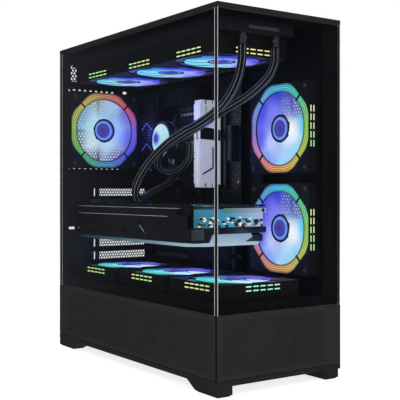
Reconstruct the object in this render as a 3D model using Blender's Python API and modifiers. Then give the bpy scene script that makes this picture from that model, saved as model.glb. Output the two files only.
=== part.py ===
"""Desktop computer tower with a glass side and front, three rows of fans and liquid cooling.

Places are case coordinates in metres: x from the left face, y from the front face and z up from
the floor. put() turns them into world coordinates, whose origin is at the middle of the case on
the floor, with the front facing -Y and the glass side facing -X.
"""

import math

import bmesh
import bpy
from mathutils import Matrix, Vector

# Case, outside
WIDTH = 0.197
DEPTH = 0.422
HEIGHT = 0.462
GAP = 0.0003  # between pieces that touch
SHEET = 0.0012  # steel sheet
GLASS = 0.004

# Heights of the case's layers
PAD_TOP = 0.0015
TRIM_LOW = 0.0122
TRIM_TOP = 0.019
FLOOR_LOW = 0.0142
SHROUD_LOW = 0.1025
GLASS_LOW = 0.0954
GLASS_TOP = 0.456
COVER_LOW = GLASS_TOP + GAP
COVER_ROOF = 0.0018

# Upright planes inside, from the left face
BOARD_X = 0.168
TRAY_X = 0.1775
RIGHT_X = WIDTH - GAP - SHEET
REAR_Y = 0.4195
WALL_LEFT = 0.0046
WALL_RIGHT = 0.195

# Fans
FAN = 0.120
FAN_THICK = 0.025
FAN_BORE = 0.0575
FAN_HUB = 0.020
FAN_TIP = 0.0553
FAN_BLADES = 7
TOP_FAN_X = 0.071
TOP_FAN_Z = 0.4205
TOP_FAN_YS = {"front": 0.088, "middle": 0.208, "rear": 0.328}
BOTTOM_FAN_X = 0.078
BOTTOM_FAN_Z = 0.1167
BOTTOM_FAN_YS = {"front": 0.072, "middle": 0.205, "rear": 0.338}
SIDE_FAN_X = 0.1645
SIDE_FAN_Y = 0.071
SIDE_FAN_ZS = {"lower": 0.192, "upper": 0.325}
REAR_FAN = (0.066, 0.4065, 0.338)

# Graphics card
CARD_LOW = (0.028, 0.092, 0.168)
CARD_HIGH = (0.1505, 0.4175, 0.2205)
CARD_FAN_X = 0.089
CARD_FAN_YS = {"front": 0.145, "middle": 0.248, "rear": 0.351}
CARD_FAN_TIP = 0.0435
CARD_FAN_HUB = 0.016
CARD_BLADES = 9

# Pump head on the processor
PUMP_Y = 0.300
PUMP_Z = 0.320
PUMP_FACE_X = 0.110
PUMP_RADIUS = 0.029

# Power supply
SUPPLY_LOW = (0.024, 0.2785, 0.0160)
SUPPLY_HIGH = (0.174, 0.4190, 0.1020)
SUPPLY_FAN_TIP = 0.058

# Hoses
HOSE_RADIUS = 0.0055
HOSE_STEP = 0.009
OUTER_HOSE = (
    (0.052, 0.020, 0.4190),
    (0.052, 0.020, 0.4095),
    (0.0518, 0.0205, 0.400),
    (0.051, 0.0245, 0.384),
    (0.050, 0.034, 0.368),
    (0.050, 0.053, 0.352),
    (0.050, 0.078, 0.340),
    (0.050, 0.108, 0.330),
    (0.048, 0.140, 0.321),
    (0.043, 0.168, 0.309),
    (0.033, 0.187, 0.292),
    (0.024, 0.200, 0.274),
    (0.018, 0.210, 0.256),
    (0.019, 0.219, 0.241),
    (0.027, 0.228, 0.2325),
    (0.040, 0.238, 0.2315),
    (0.056, 0.250, 0.236),
    (0.074, 0.264, 0.2405),
    (0.093, 0.279, 0.2445),
    (0.112, 0.2905, 0.2495),
    (0.1265, 0.2990, 0.2555),
    (0.1338, 0.3042, 0.2645),
    (0.135, 0.305, 0.2735),
    (0.135, 0.305, 0.2830),
)
INNER_HOSE = (
    (0.104, 0.020, 0.4190),
    (0.104, 0.020, 0.4095),
    (0.1037, 0.0210, 0.400),
    (0.1015, 0.0290, 0.386),
    (0.098, 0.047, 0.373),
    (0.094, 0.069, 0.3615),
    (0.090, 0.091, 0.353),
    (0.086, 0.113, 0.345),
    (0.081, 0.150, 0.331),
    (0.0785, 0.184, 0.320),
    (0.0795, 0.212, 0.313),
    (0.083, 0.240, 0.306),
    (0.089, 0.266, 0.299),
    (0.096, 0.285, 0.289),
    (0.104, 0.2945, 0.2785),
    (0.1135, 0.2915, 0.2715),
    (0.121, 0.278, 0.2705),
    (0.126, 0.262, 0.277),
    (0.1282, 0.2490, 0.289),
    (0.1285, 0.2455, 0.301),
    (0.1285, 0.2455, 0.3125),
)


# ---------------------------------------------------------------- scene and materials


def clear_scene():
    for thing in list(bpy.data.objects):
        bpy.data.objects.remove(thing)


def new_collection(name):
    collection = bpy.data.collections.new(name)
    bpy.context.scene.collection.children.link(collection)
    return collection


def new_material(name, colour, roughness, metallic=0.0, alpha=1.0):
    material = bpy.data.materials.new(name)
    material.use_nodes = True
    shader = material.node_tree.nodes["Principled BSDF"]
    shader.inputs["Base Color"].default_value = (*colour, 1.0)
    shader.inputs["Roughness"].default_value = roughness
    shader.inputs["Metallic"].default_value = metallic
    shader.inputs["Alpha"].default_value = alpha
    material.diffuse_color = (*colour, alpha)
    return material


clear_scene()
PARTS = new_collection("desktop_computer_tower")
CUTTERS = new_collection("cutters")

BLACK_STEEL = new_material("black_steel", (0.025, 0.026, 0.028), 0.45, 0.3)
BLACK_PLASTIC = new_material("black_plastic", (0.02, 0.02, 0.022), 0.55)
TINTED_GLASS = new_material("tinted_glass", (0.03, 0.03, 0.035), 0.03, 0.0, 0.4)
RUBBER = new_material("rubber", (0.015, 0.015, 0.015), 0.85)
FILTER_MESH = new_material("filter_mesh", (0.03, 0.03, 0.03), 0.7)
FAN_BLACK = new_material("fan_black", (0.015, 0.015, 0.017), 0.5)
FAN_FROSTED = new_material("fan_frosted", (0.55, 0.75, 0.95), 0.35)
RADIATOR_BLACK = new_material("radiator_black", (0.02, 0.02, 0.02), 0.5, 0.4)
HOSE_SLEEVE = new_material("hose_sleeve", (0.03, 0.03, 0.032), 0.6)
PUMP_SHELL = new_material("pump_shell", (0.2, 0.75, 0.85), 0.3)
BOARD_BLACK = new_material("board_black", (0.012, 0.014, 0.018), 0.5)
MEMORY_WHITE = new_material("memory_white", (0.82, 0.82, 0.85), 0.35)
HEATSINK = new_material("heatsink", (0.1, 0.12, 0.25), 0.35, 0.7)
CARD_BLACK = new_material("card_black", (0.02, 0.02, 0.024), 0.4)
CARD_METAL = new_material("card_metal", (0.05, 0.05, 0.055), 0.35, 0.7)
SUPPLY_BLACK = new_material("supply_black", (0.02, 0.02, 0.02), 0.5, 0.3)


# ---------------------------------------------------------------- solids


def put(x, y, z):
    """World position of a case coordinate."""
    return Vector((x - WIDTH / 2, y - DEPTH / 2, z))


def add_object(name, mesh, material, collection):
    thing = bpy.data.objects.new(name, mesh)
    collection.objects.link(thing)
    if material and not mesh.materials:
        mesh.materials.append(material)
    return thing


def mesh_from(name, build):
    """A mesh whose bmesh is filled in by build(bm)."""
    bm = bmesh.new()
    build(bm)
    mesh = bpy.data.meshes.new(name)
    bm.to_mesh(mesh)
    bm.free()
    return mesh


def block(name, low, high, material=None, edge=0.0, collection=None):
    """A box between two case corners, its edges bevelled by edge."""
    size = [b - a for a, b in zip(low, high)]
    middle = [(a + b) / 2 for a, b in zip(low, high)]

    def build(bm):
        bmesh.ops.create_cube(bm, size=1, matrix=Matrix.Diagonal((*size, 1)))

    thing = add_object(name, mesh_from(name, build), material, collection or PARTS)
    thing.location = put(*middle)
    if edge:
        bevel = thing.modifiers.new("edges", "BEVEL")
        bevel.width = edge
        bevel.segments = 2
        bevel.limit_method = "ANGLE"
    return thing


def drum_mesh(name, radius, length, segments):
    def build(bm):
        bmesh.ops.create_cone(
            bm, cap_ends=True, segments=segments, radius1=radius, radius2=radius, depth=length
        )

    mesh = mesh_from(name, build)
    mesh.shade_smooth()
    mesh.set_sharp_from_angle(angle=math.radians(40))
    return mesh


TURN = {"X": (0, math.pi / 2, 0), "Y": (-math.pi / 2, 0, 0), "Z": (0, 0, 0)}


def drum(name, middle, radius, length, axis="Z", material=None, segments=32, collection=None):
    """A cylinder round a case point, lying along axis."""
    mesh = drum_mesh(name, radius, length, segments)
    thing = add_object(name, mesh, material, collection or PARTS)
    thing.location = put(*middle)
    thing.rotation_euler = TURN[axis]
    return thing


def hidden(thing):
    """Makes a helper that the model doesn't show."""
    thing.hide_render = True
    thing.display_type = "WIRE"
    return thing


def cut_block(low, high):
    return hidden(block("cutter", low, high, collection=CUTTERS))


def cut_drum(middle, radius, length, axis="Z", segments=32):
    return hidden(drum("cutter", middle, radius, length, axis, None, segments, CUTTERS))


def combine(thing, operation, helpers):
    for helper in helpers:
        modifier = thing.modifiers.new(operation.lower(), "BOOLEAN")
        modifier.operation = operation
        modifier.solver = "EXACT"
        modifier.object = helper
    return thing


def carve(thing, *cutters):
    return combine(thing, "DIFFERENCE", cutters)


def weld(thing, *additions):
    return combine(thing, "UNION", additions)


def bake(thing, name):
    """The finished mesh of an object, whose object is then removed."""
    bpy.context.view_layer.update()
    graph = bpy.context.evaluated_depsgraph_get()
    mesh = bpy.data.meshes.new_from_object(thing.evaluated_get(graph))
    mesh.name = name
    bpy.data.objects.remove(thing)
    mesh.shade_smooth()
    mesh.set_sharp_from_angle(angle=math.radians(40))
    return mesh


# ---------------------------------------------------------------- base and chassis

FOOT_LOW = PAD_TOP + GAP
FOOT_WIDE = 0.022
FOOT_LONG = 0.065
FOOT_SLANT = 0.019
FOOT_XS = {"left": 0.0005, "right": WIDTH - 0.004 - FOOT_WIDE}
FOOT_INSET_Y = 0.0005
VENT_LOW = (0.040, 0.285)
VENT_HIGH = (0.160, 0.405)


def foot(x, front):
    """A foot whose inner end slants back under the case."""
    y = FOOT_INSET_Y if front else DEPTH - FOOT_INSET_Y - FOOT_LONG
    low = (x, y, FOOT_LOW)
    high = (x + FOOT_WIDE, y + FOOT_LONG, TRIM_LOW + 0.001)
    thing = hidden(block("foot", low, high, collection=CUTTERS))
    inner = 1 if front else -1
    for vertex in thing.data.vertices:
        if vertex.co.z < 0 and vertex.co.y * inner > 0:
            vertex.co.y -= inner * FOOT_SLANT
    return thing


def make_base():
    trim = block("base_trim", (0, 0, TRIM_LOW), (WIDTH, DEPTH, TRIM_TOP), BLACK_PLASTIC, 0.0008)
    weld(trim, *(foot(x, front) for x in FOOT_XS.values() for front in (True, False)))
    wall = 0.0027
    carve(
        trim,
        cut_block((wall, wall, TRIM_LOW + 0.0017), (WIDTH - wall, DEPTH - wall, 0.03)),
        cut_block((*VENT_LOW, 0.005), (*VENT_HIGH, 0.03)),
    )
    margin = 0.002
    rear_y = DEPTH - FOOT_INSET_Y - FOOT_LONG + FOOT_SLANT
    for side, x in FOOT_XS.items():
        for end, y in (("front", FOOT_INSET_Y), ("rear", rear_y)):
            low = (x + margin, y + margin, 0)
            high = (x + FOOT_WIDE - margin, y + FOOT_LONG - FOOT_SLANT - margin, PAD_TOP)
            block(f"foot_pad_{end}_{side}", low, high, RUBBER, 0.0004)


def make_chassis_floor():
    edge = 0.0030
    low = (edge, edge, FLOOR_LOW)
    floor = block("chassis_floor", low, (WIDTH - edge, DEPTH - edge, FLOOR_LOW + SHEET), BLACK_STEEL)
    lip_high = (WIDTH - 0.02, edge + SHEET, 0.030)
    weld(floor, hidden(block("lip", (0.02, edge, FLOOR_LOW + 0.0004), lip_high, collection=CUTTERS)))
    bars = 5
    pitch = (VENT_HIGH[0] - VENT_LOW[0]) / bars
    bar = 0.006
    for i in range(bars):
        x = VENT_LOW[0] + i * pitch
        carve(floor, cut_block((x, VENT_LOW[1], 0.01), (x + pitch - bar, VENT_HIGH[1], 0.02)))


# Openings in the rear wall, as (x, z) corners
PORT_WINDOW = ((0.128, 0.254), (0.1695, 0.410))
SLOT_WINDOW = ((0.056, 0.1085), (0.160, 0.2495))
SUPPLY_WINDOW = ((0.034, 0.024), (0.168, 0.096))


def make_rear_wall():
    wall = block(
        "rear_wall",
        (WALL_LEFT, REAR_Y, TRIM_TOP + GAP),
        (WALL_RIGHT, REAR_Y + SHEET, GLASS_TOP - GAP),
        BLACK_STEEL,
    )
    flange_low = (WALL_LEFT, REAR_Y - 0.010, SHROUD_LOW + 0.003)
    flange_high = (WALL_LEFT + 0.0011, REAR_Y + 0.0006, GLASS_TOP - 0.001)
    weld(wall, hidden(block("flange", flange_low, flange_high, collection=CUTTERS)))
    carve(wall, cut_drum((REAR_FAN[0], REAR_Y, REAR_FAN[2]), 0.057, 0.01, "Y", 48))
    for (x0, z0), (x1, z1) in (PORT_WINDOW, SLOT_WINDOW, SUPPLY_WINDOW):
        carve(wall, cut_block((x0, REAR_Y - 0.004, z0), (x1, REAR_Y + 0.004, z1)))


# Openings in the tray, as (y, z) corners
PROCESSOR_WINDOW = ((0.240, 0.270), (0.360, 0.372))
FAN_CABLE_SLOT = ((0.056, 0.2525), (0.137, 0.2645))
UPPER_CABLE_SLOT = ((0.144, 0.290), (0.162, 0.400))
LOWER_CABLE_SLOT = ((0.144, 0.130), (0.162, 0.240))
TOP_CABLE_SLOT = ((0.260, 0.4175), (0.340, 0.432))


def make_motherboard_tray():
    tray = block(
        "motherboard_tray",
        (TRAY_X, 0.0052, SHROUD_LOW + SHEET + GAP),
        (TRAY_X + SHEET, REAR_Y - GAP, GLASS_TOP - GAP),
        BLACK_STEEL,
    )
    for z in SIDE_FAN_ZS.values():
        carve(tray, cut_drum((TRAY_X, SIDE_FAN_Y, z), 0.056, 0.01, "X"))
    slots = (FAN_CABLE_SLOT, UPPER_CABLE_SLOT, LOWER_CABLE_SLOT, TOP_CABLE_SLOT)
    for (y0, z0), (y1, z1) in (PROCESSOR_WINDOW, *slots):
        carve(tray, cut_block((TRAY_X - 0.004, y0, z0), (TRAY_X + 0.004, y1, z1)))


def make_psu_shroud():
    shroud = block(
        "psu_shroud",
        (WALL_LEFT, WALL_LEFT, SHROUD_LOW),
        (TRAY_X - GAP, REAR_Y - GAP, SHROUD_LOW + SHEET),
        BLACK_STEEL,
    )
    lip_high = (WALL_LEFT + SHEET, REAR_Y - 0.012, SHROUD_LOW + 0.0006)
    weld(shroud, hidden(block("lip", (WALL_LEFT, 0.006, 0.086), lip_high, collection=CUTTERS)))
    for y in BOTTOM_FAN_YS.values():
        carve(shroud, cut_drum((BOTTOM_FAN_X, y, SHROUD_LOW), 0.054, 0.01))


def make_top_frame():
    frame = block(
        "top_frame",
        (WALL_LEFT, WALL_LEFT, COVER_LOW),
        (WIDTH - 0.0026, REAR_Y, COVER_LOW + SHEET),
        BLACK_STEEL,
    )
    carve(
        frame,
        cut_block((0.014, 0.030, 0.45), (0.128, 0.386, 0.47)),
        cut_block((0.172, 0.0195, 0.45), (0.199, 0.132, 0.47)),
    )


def make_front_pillar():
    low = (0.1792, 0.0052, TRIM_TOP + GAP)
    high = (0.1945, 0.0192, GLASS_TOP - GAP)
    pillar = block("front_pillar", low, high, BLACK_STEEL)
    inner_low = (low[0] + SHEET, low[1] + SHEET, 0.0)
    carve(pillar, cut_block(inner_low, (high[0] - SHEET, high[1] - SHEET, 0.5)))


# ---------------------------------------------------------------- panels


def make_glass():
    edge = 0.0006
    side_low = (GAP, GLASS + 0.0013, GLASS_LOW)
    block("side_glass", side_low, (GAP + GLASS, DEPTH - GAP, GLASS_TOP), TINTED_GLASS, edge)
    front_low = (GAP, GAP, GLASS_LOW)
    block("front_glass", front_low, (WIDTH - GAP, GAP + GLASS, GLASS_TOP), TINTED_GLASS, edge)


def make_lower_panels():
    top = GLASS_LOW - GAP
    side = block(
        "lower_side_panel",
        (GAP, 0.0022, TRIM_TOP + GAP),
        (GAP + SHEET, DEPTH - GAP, top),
        BLACK_STEEL,
    )
    lip_low, lip_high = top - SHEET, top - 0.0002
    lip_deep = 0.0042
    side_lip = block(
        "lip",
        (GAP + 0.0004, 0.006, lip_low),
        (lip_deep, DEPTH - 0.001, lip_high),
        collection=CUTTERS,
    )
    weld(side, hidden(side_lip))
    front = block(
        "lower_front_panel",
        (GAP, GAP, TRIM_TOP + GAP),
        (WIDTH - GAP, GAP + SHEET, top),
        BLACK_STEEL,
    )
    front_lip = block(
        "lip",
        (0.006, GAP + 0.0004, lip_low),
        (WIDTH - 0.006, lip_deep, lip_high),
        collection=CUTTERS,
    )
    weld(front, hidden(front_lip))


def make_right_panel():
    block(
        "right_panel",
        (RIGHT_X, 0.0048, TRIM_TOP + GAP),
        (RIGHT_X + SHEET, DEPTH - GAP, GLASS_TOP),
        BLACK_STEEL,
    )


POWER_BUTTON = (0.1863, 0.0300)
RESET_BUTTON = (0.1863, 0.1180)
POWER_RADIUS = 0.006
RESET_RADIUS = 0.003
FILTER_LOW = (0.0125, 0.0145)
FILTER_HIGH = (0.1655, 0.4075)
SLIDE_LOW = (0.035, 0.262, 0.0103)  # the bottom filter, and the grip at its rear end
SLIDE_HIGH = (0.165, 0.416, 0.0119)
GRIP_LOW = (0.075, 0.4145, 0.0065)
GRIP_HIGH = (0.125, 0.4185, 0.0117)
PORT_YS = (0.052, 0.072)  # middles of the two wide ports
PORT_SMALL_Y = 0.090
PORT_SIZE = (0.0125, 0.0052)  # inside, along x and y
PORT_WALL = 0.0008
PORT_SMALL_HALF = (0.0047, 0.0019)


def make_top_cover():
    cover = block("top_cover", (0, 0, COVER_LOW), (WIDTH, DEPTH, HEIGHT), BLACK_PLASTIC, 0.001)
    wall = 0.002
    room = 0.0005
    carve(
        cover,
        cut_block((wall, wall, 0.4), (WIDTH - wall, DEPTH - wall, HEIGHT - COVER_ROOF)),
        cut_block(
            (FILTER_LOW[0] - room, FILTER_LOW[1] - room, 0.4),
            (FILTER_HIGH[0] + room, FILTER_HIGH[1] + room, 0.5),
        ),
        cut_drum((*POWER_BUTTON, HEIGHT), POWER_RADIUS + room, 0.02, segments=24),
        cut_drum((*RESET_BUTTON, HEIGHT), RESET_RADIUS + room, 0.02, segments=16),
    )
    x = POWER_BUTTON[0]
    wide = [side / 2 + PORT_WALL + room for side in PORT_SIZE]
    small = [half + room for half in PORT_SMALL_HALF]
    for y, (half_x, half_y) in ((PORT_YS[0], wide), (PORT_YS[1], wide), (PORT_SMALL_Y, small)):
        carve(cover, cut_block((x - half_x, y - half_y, 0.4), (x + half_x, y + half_y, 0.5)))


def make_filters():
    low = (*FILTER_LOW, HEIGHT - COVER_ROOF + 0.0001)
    block("top_filter", low, (*FILTER_HIGH, HEIGHT - 0.0003), FILTER_MESH)
    slide = block("bottom_filter", SLIDE_LOW, SLIDE_HIGH, FILTER_MESH)
    grip = block("grip", GRIP_LOW, GRIP_HIGH, collection=CUTTERS)
    weld(slide, hidden(grip))


def make_controls():
    low, high = 0.4576, HEIGHT - 0.0001
    for name, spot, radius, sides in (
        ("power_button", POWER_BUTTON, POWER_RADIUS, 24),
        ("reset_button", RESET_BUTTON, RESET_RADIUS, 16),
    ):
        drum(name, (*spot, (low + high) / 2), radius, high - low, "Z", BLACK_PLASTIC, sides)
    x = POWER_BUTTON[0]
    board_low, board_top, port_top = 0.4460, 0.4476, 0.4616
    board = block("io_board", (0.1790, 0.042, board_low), (0.1935, 0.108, board_top), BOARD_BLACK)
    half_x, half_y = (side / 2 for side in PORT_SIZE)
    for y in PORT_YS:
        shell_low = (x - half_x - PORT_WALL, y - half_y - PORT_WALL, board_low + 0.0008)
        shell_high = (x + half_x + PORT_WALL, y + half_y + PORT_WALL, port_top)
        weld(board, hidden(block("port", shell_low, shell_high, collection=CUTTERS)))
        carve(
            board,
            cut_block((x - half_x, y - half_y, board_top + 0.0004), (x + half_x, y + half_y, 0.47)),
        )
    half_x, half_y = PORT_SMALL_HALF
    small_low = (x - half_x, PORT_SMALL_Y - half_y, board_low + 0.0008)
    small_high = (x + half_x, PORT_SMALL_Y + half_y, port_top)
    weld(board, hidden(block("port", small_low, small_high, collection=CUTTERS)))


# ---------------------------------------------------------------- fans


def fan_frame_mesh():
    """A square fan frame round +Z, its open face at the top and its motor mount underneath."""
    half = FAN / 2
    centre = (WIDTH / 2, DEPTH / 2)
    body = block(
        "frame",
        (centre[0] - half, centre[1] - half, -FAN_THICK / 2),
        (centre[0] + half, centre[1] + half, FAN_THICK / 2),
        FAN_BLACK,
    )
    carve(body, cut_drum((*centre, 0), FAN_BORE, 0.04))
    mount_low = -FAN_THICK / 2
    mount_thick = 0.0028
    strut = 0.005
    reach = FAN_BORE + 0.0006
    for wide, deep in ((reach, strut / 2), (strut / 2, reach)):
        low = (centre[0] - wide, centre[1] - deep, mount_low + 0.0002)
        high = (centre[0] + wide, centre[1] + deep, mount_low + mount_thick - 0.0002)
        weld(body, hidden(block("strut", low, high, collection=CUTTERS)))
    disc = drum("disc", (*centre, mount_low + mount_thick / 2), 0.021, mount_thick, segments=24)
    weld(body, hidden(disc))
    hole = 0.0525
    for x in (-hole, hole):
        for y in (-hole, hole):
            carve(body, cut_drum((centre[0] + x, centre[1] + y, 0), 0.0022, 0.04, segments=8))
    return bake(body, "fan_frame")


def rotor_mesh(name, hub, tip, blades, low, high, sweep, material):
    """A hub with blades that twist round +Z; low and high are the hub's ends."""
    centre = (WIDTH / 2, DEPTH / 2)
    body = drum("hub", (*centre, (low + high) / 2), hub, high - low, "Z", material, 24)
    root = hub - 0.0015
    rise = (high - low) * 0.36

    def shape(bm):
        for k in range(blades):
            grid = bmesh.ops.create_grid(bm, x_segments=3, y_segments=1, size=0.5)
            for vertex in grid["verts"]:
                out = vertex.co.x + 0.5
                across = vertex.co.y * 2
                radius = root + (tip - root) * out
                chord = sweep * (0.42 + 0.10 * out)
                angle = 2 * math.pi * k / blades + sweep * 0.35 * out * out + across * chord
                height = (low + high) / 2 + across * rise
                vertex.co = (radius * math.cos(angle), radius * math.sin(angle), height)

    fins = hidden(add_object("blades", mesh_from("blades", shape), material, CUTTERS))
    wall = fins.modifiers.new("wall", "SOLIDIFY")
    wall.thickness = 0.0014
    wall.offset = 0
    weld(body, fins)
    return bake(body, name)


FACING = {
    "up": (0, 0, 0),
    "down": (math.pi, 0, 0),
    "left": (0, -math.pi / 2, 0),
    "front": (math.pi / 2, 0, 0),
}


def place_fan(where, frame, rotor, middle, facing):
    for kind, mesh, material in (("frame", frame, FAN_BLACK), ("rotor", rotor, FAN_FROSTED)):
        thing = add_object(f"fan_{kind}_{where}", mesh, material, PARTS)
        thing.location = put(*middle)
        thing.rotation_euler = FACING[facing]


def make_fans():
    frame = fan_frame_mesh()
    mount_top = -FAN_THICK / 2 + 0.0028
    rotor = rotor_mesh(
        "fan_rotor", FAN_HUB, FAN_TIP, FAN_BLADES, mount_top + 0.0005, 0.0100, 0.62, FAN_FROSTED
    )
    for end, y in TOP_FAN_YS.items():
        place_fan(f"top_{end}", frame, rotor, (TOP_FAN_X, y, TOP_FAN_Z), "down")
    for end, y in BOTTOM_FAN_YS.items():
        place_fan(f"bottom_{end}", frame, rotor, (BOTTOM_FAN_X, y, BOTTOM_FAN_Z), "up")
    for level, z in SIDE_FAN_ZS.items():
        place_fan(f"side_{level}", frame, rotor, (SIDE_FAN_X, SIDE_FAN_Y, z), "left")
    place_fan("rear", frame, rotor, REAR_FAN, "front")


# ---------------------------------------------------------------- liquid cooler

RADIATOR_LOW = 0.4333
FERRULE_LOW = 0.4198
FERRULE_RADIUS = 0.0048


def make_radiator():
    core = block(
        "radiator", (0.0112, 0.027, RADIATOR_LOW), (0.1308, 0.389, GLASS_TOP), RADIATOR_BLACK
    )
    for y0, y1 in ((0.0112, 0.0275), (0.3885, 0.405)):
        tank_low = (0.0132, y0, RADIATOR_LOW + 0.0008)
        tank_high = (0.1288, y1, GLASS_TOP - 0.0008)
        weld(core, hidden(block("tank", tank_low, tank_high, edge=0.002, collection=CUTTERS)))
    for hose in (OUTER_HOSE, INNER_HOSE):
        x, y, _ = hose[0]
        long = RADIATOR_LOW + 0.003 - FERRULE_LOW
        spout = drum("spout", (x, y, FERRULE_LOW + long / 2), FERRULE_RADIUS, long, "Z", None, 16)
        weld(core, hidden(spout))


def smooth_route(points):
    """Points about HOSE_STEP apart on the smooth curve through the route's own points."""
    ends = [2 * Vector(points[0]) - Vector(points[1])]
    knots = ends + [Vector(p) for p in points]
    knots.append(2 * knots[-1] - knots[-2])
    fine = []
    for a, b, c, d in zip(knots, knots[1:], knots[2:], knots[3:]):
        for step in range(12):
            t = step / 12
            curve = 2 * b + (c - a) * t
            curve += (2 * a - 5 * b + 4 * c - d) * t * t
            curve += (3 * b - a - 3 * c + d) * t**3
            fine.append(curve / 2)
    fine.append(knots[-2])
    length = sum((q - p).length for p, q in zip(fine, fine[1:]))
    count = round(length / HOSE_STEP)
    route, walked, target = [fine[0]], 0.0, length / count
    for p, q in zip(fine, fine[1:]):
        piece = (q - p).length
        while walked + piece >= target * len(route) - 1e-9 and len(route) < count:
            share = (target * len(route) - walked) / piece
            route.append(p.lerp(q, share))
        walked += piece
    route.append(fine[-1])
    return route


def make_hose(name, points):
    curve = bpy.data.curves.new(name, "CURVE")
    curve.dimensions = "3D"
    curve.bevel_depth = HOSE_RADIUS
    curve.bevel_resolution = 2
    curve.use_fill_caps = True
    route = smooth_route(points)
    spline = curve.splines.new("POLY")
    spline.points.add(len(route) - 1)
    for point, place in zip(spline.points, route):
        point.co = (*put(*place), 1)
    curve.materials.append(HOSE_SLEEVE)
    PARTS.objects.link(bpy.data.objects.new(name, curve))


def make_pump():
    back_x = 0.160
    middle = ((PUMP_FACE_X + back_x) / 2, PUMP_Y, PUMP_Z)
    pump = drum("pump_head", middle, PUMP_RADIUS, back_x - PUMP_FACE_X, "X", PUMP_SHELL, 48)
    half = 0.037
    plate = block(
        "plate",
        (back_x - 0.002, PUMP_Y - half, PUMP_Z - half),
        (BOARD_X - GAP, PUMP_Y + half, PUMP_Z + half),
        edge=0.003,
        collection=CUTTERS,
    )
    x, y, z = OUTER_HOSE[-1]
    lower_spout = drum("spout", (x, y, z + 2 * GAP + 0.007), 0.0062, 0.014, "Z", None, 16)
    x, y, z = INNER_HOSE[-1]
    elbow_low = (x - 0.0065, y - 0.0065, z + 2 * GAP)
    elbow_high = (x + 0.0065, PUMP_Y - PUMP_RADIUS + 0.006, z + 0.0135)
    elbow = block("elbow", elbow_low, elbow_high, edge=0.002, collection=CUTTERS)
    weld(pump, hidden(plate), hidden(lower_spout), hidden(elbow))


# ---------------------------------------------------------------- board and its parts

BOARD_LOW = (0.173, 0.108)
BOARD_HIGH = (0.417, 0.413)


def make_motherboard():
    board = block(
        "motherboard", (BOARD_X, *BOARD_LOW), (BOARD_X + 0.0016, *BOARD_HIGH), BOARD_BLACK
    )
    ports = block(
        "ports",
        (0.130, 0.3965, 0.257),
        (BOARD_X + 0.0008, REAR_Y + SHEET + 0.0004, 0.4075),
        collection=CUTTERS,
    )
    weld(board, hidden(ports))


def make_memory():
    thick = 0.007
    for name, y in (("memory_stick_front", 0.2145), ("memory_stick_rear", 0.2240)):
        block(name, (0.125, y, 0.247), (BOARD_X - GAP, y + thick, 0.375), MEMORY_WHITE, 0.0006)


def make_board_heatsinks():
    back = BOARD_X - GAP
    cover = block("board_heatsink", (0.128, 0.347, 0.255), (back, 0.392, 0.402), HEATSINK)
    top = block("top", (0.140, 0.245, 0.3745), (back - 0.0002, 0.350, 0.4018), collection=CUTTERS)
    weld(cover, hidden(top))


def make_graphics_card():
    body = block("graphics_card_body", CARD_LOW, CARD_HIGH, CARD_BLACK, 0.002)
    edge = block(
        "edge", (0.149, 0.300, 0.209), (BOARD_X - GAP, 0.389, 0.2125), collection=CUTTERS
    )
    bracket = block(
        "bracket", (0.052, 0.4170, 0.1695), (0.166, 0.4182, 0.2295), collection=CUTTERS
    )
    weld(body, hidden(edge), hidden(bracket))
    for y in CARD_FAN_YS.values():
        carve(body, cut_drum((CARD_FAN_X, y, CARD_LOW[2]), CARD_FAN_TIP + 0.0025, 0.030))
    low = (CARD_LOW[0] + 0.0005, CARD_LOW[1] + 0.002, CARD_HIGH[2] + GAP)
    block("graphics_card_backplate", low, (0.1500, 0.409, 0.2240), CARD_METAL, 0.0008)
    rotor = rotor_mesh(
        "card_rotor", CARD_FAN_HUB, CARD_FAN_TIP, CARD_BLADES, -0.0055, 0.0055, 0.5, CARD_BLACK
    )
    for end, y in CARD_FAN_YS.items():
        thing = add_object(f"graphics_card_rotor_{end}", rotor, CARD_BLACK, PARTS)
        thing.location = put(CARD_FAN_X, y, CARD_LOW[2] + 0.0085)
        thing.rotation_euler = FACING["down"]


SLOT_ZS = (0.1385, 0.1588)
SLOT_TOP_Z = 0.240
SLOT_LOW_Z = 0.118


def make_slot_covers():
    """Bars across the expansion slots that the card leaves free."""
    y0, y1 = 0.4172, 0.4184
    bar = 0.0088
    left, right = 0.052, 0.166
    top = block(
        "slot_cover_upper", (left, y0, SLOT_TOP_Z - bar), (right, y1, SLOT_TOP_Z + bar), CARD_METAL
    )
    tab = block(
        "tab",
        (right - 0.004, y0 - 0.009, SLOT_TOP_Z - 0.006),
        (right - 0.0005, y1 - 0.0004, SLOT_TOP_Z + 0.006),
        collection=CUTTERS,
    )
    weld(top, hidden(tab))
    lower = block(
        "slot_covers_lower", (left, y0, SLOT_LOW_Z - bar), (right, y1, SLOT_LOW_Z + bar), CARD_METAL
    )
    for z in SLOT_ZS:
        strip = block("bar", (left, y0, z - bar), (right, y1, z + bar), collection=CUTTERS)
        weld(lower, hidden(strip))
    spine = block(
        "spine",
        (right - 0.004, y0 - 0.009, SLOT_LOW_Z - bar + 0.001),
        (right - 0.0005, y1 - 0.0004, SLOT_ZS[-1] + bar - 0.001),
        collection=CUTTERS,
    )
    weld(lower, hidden(spine))


# ---------------------------------------------------------------- lower chamber

SWITCH = (0.063, 0.0420)
INLET_LOW = (0.0500, 0.0600)
INLET_HIGH = (0.0760, 0.0780)


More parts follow.
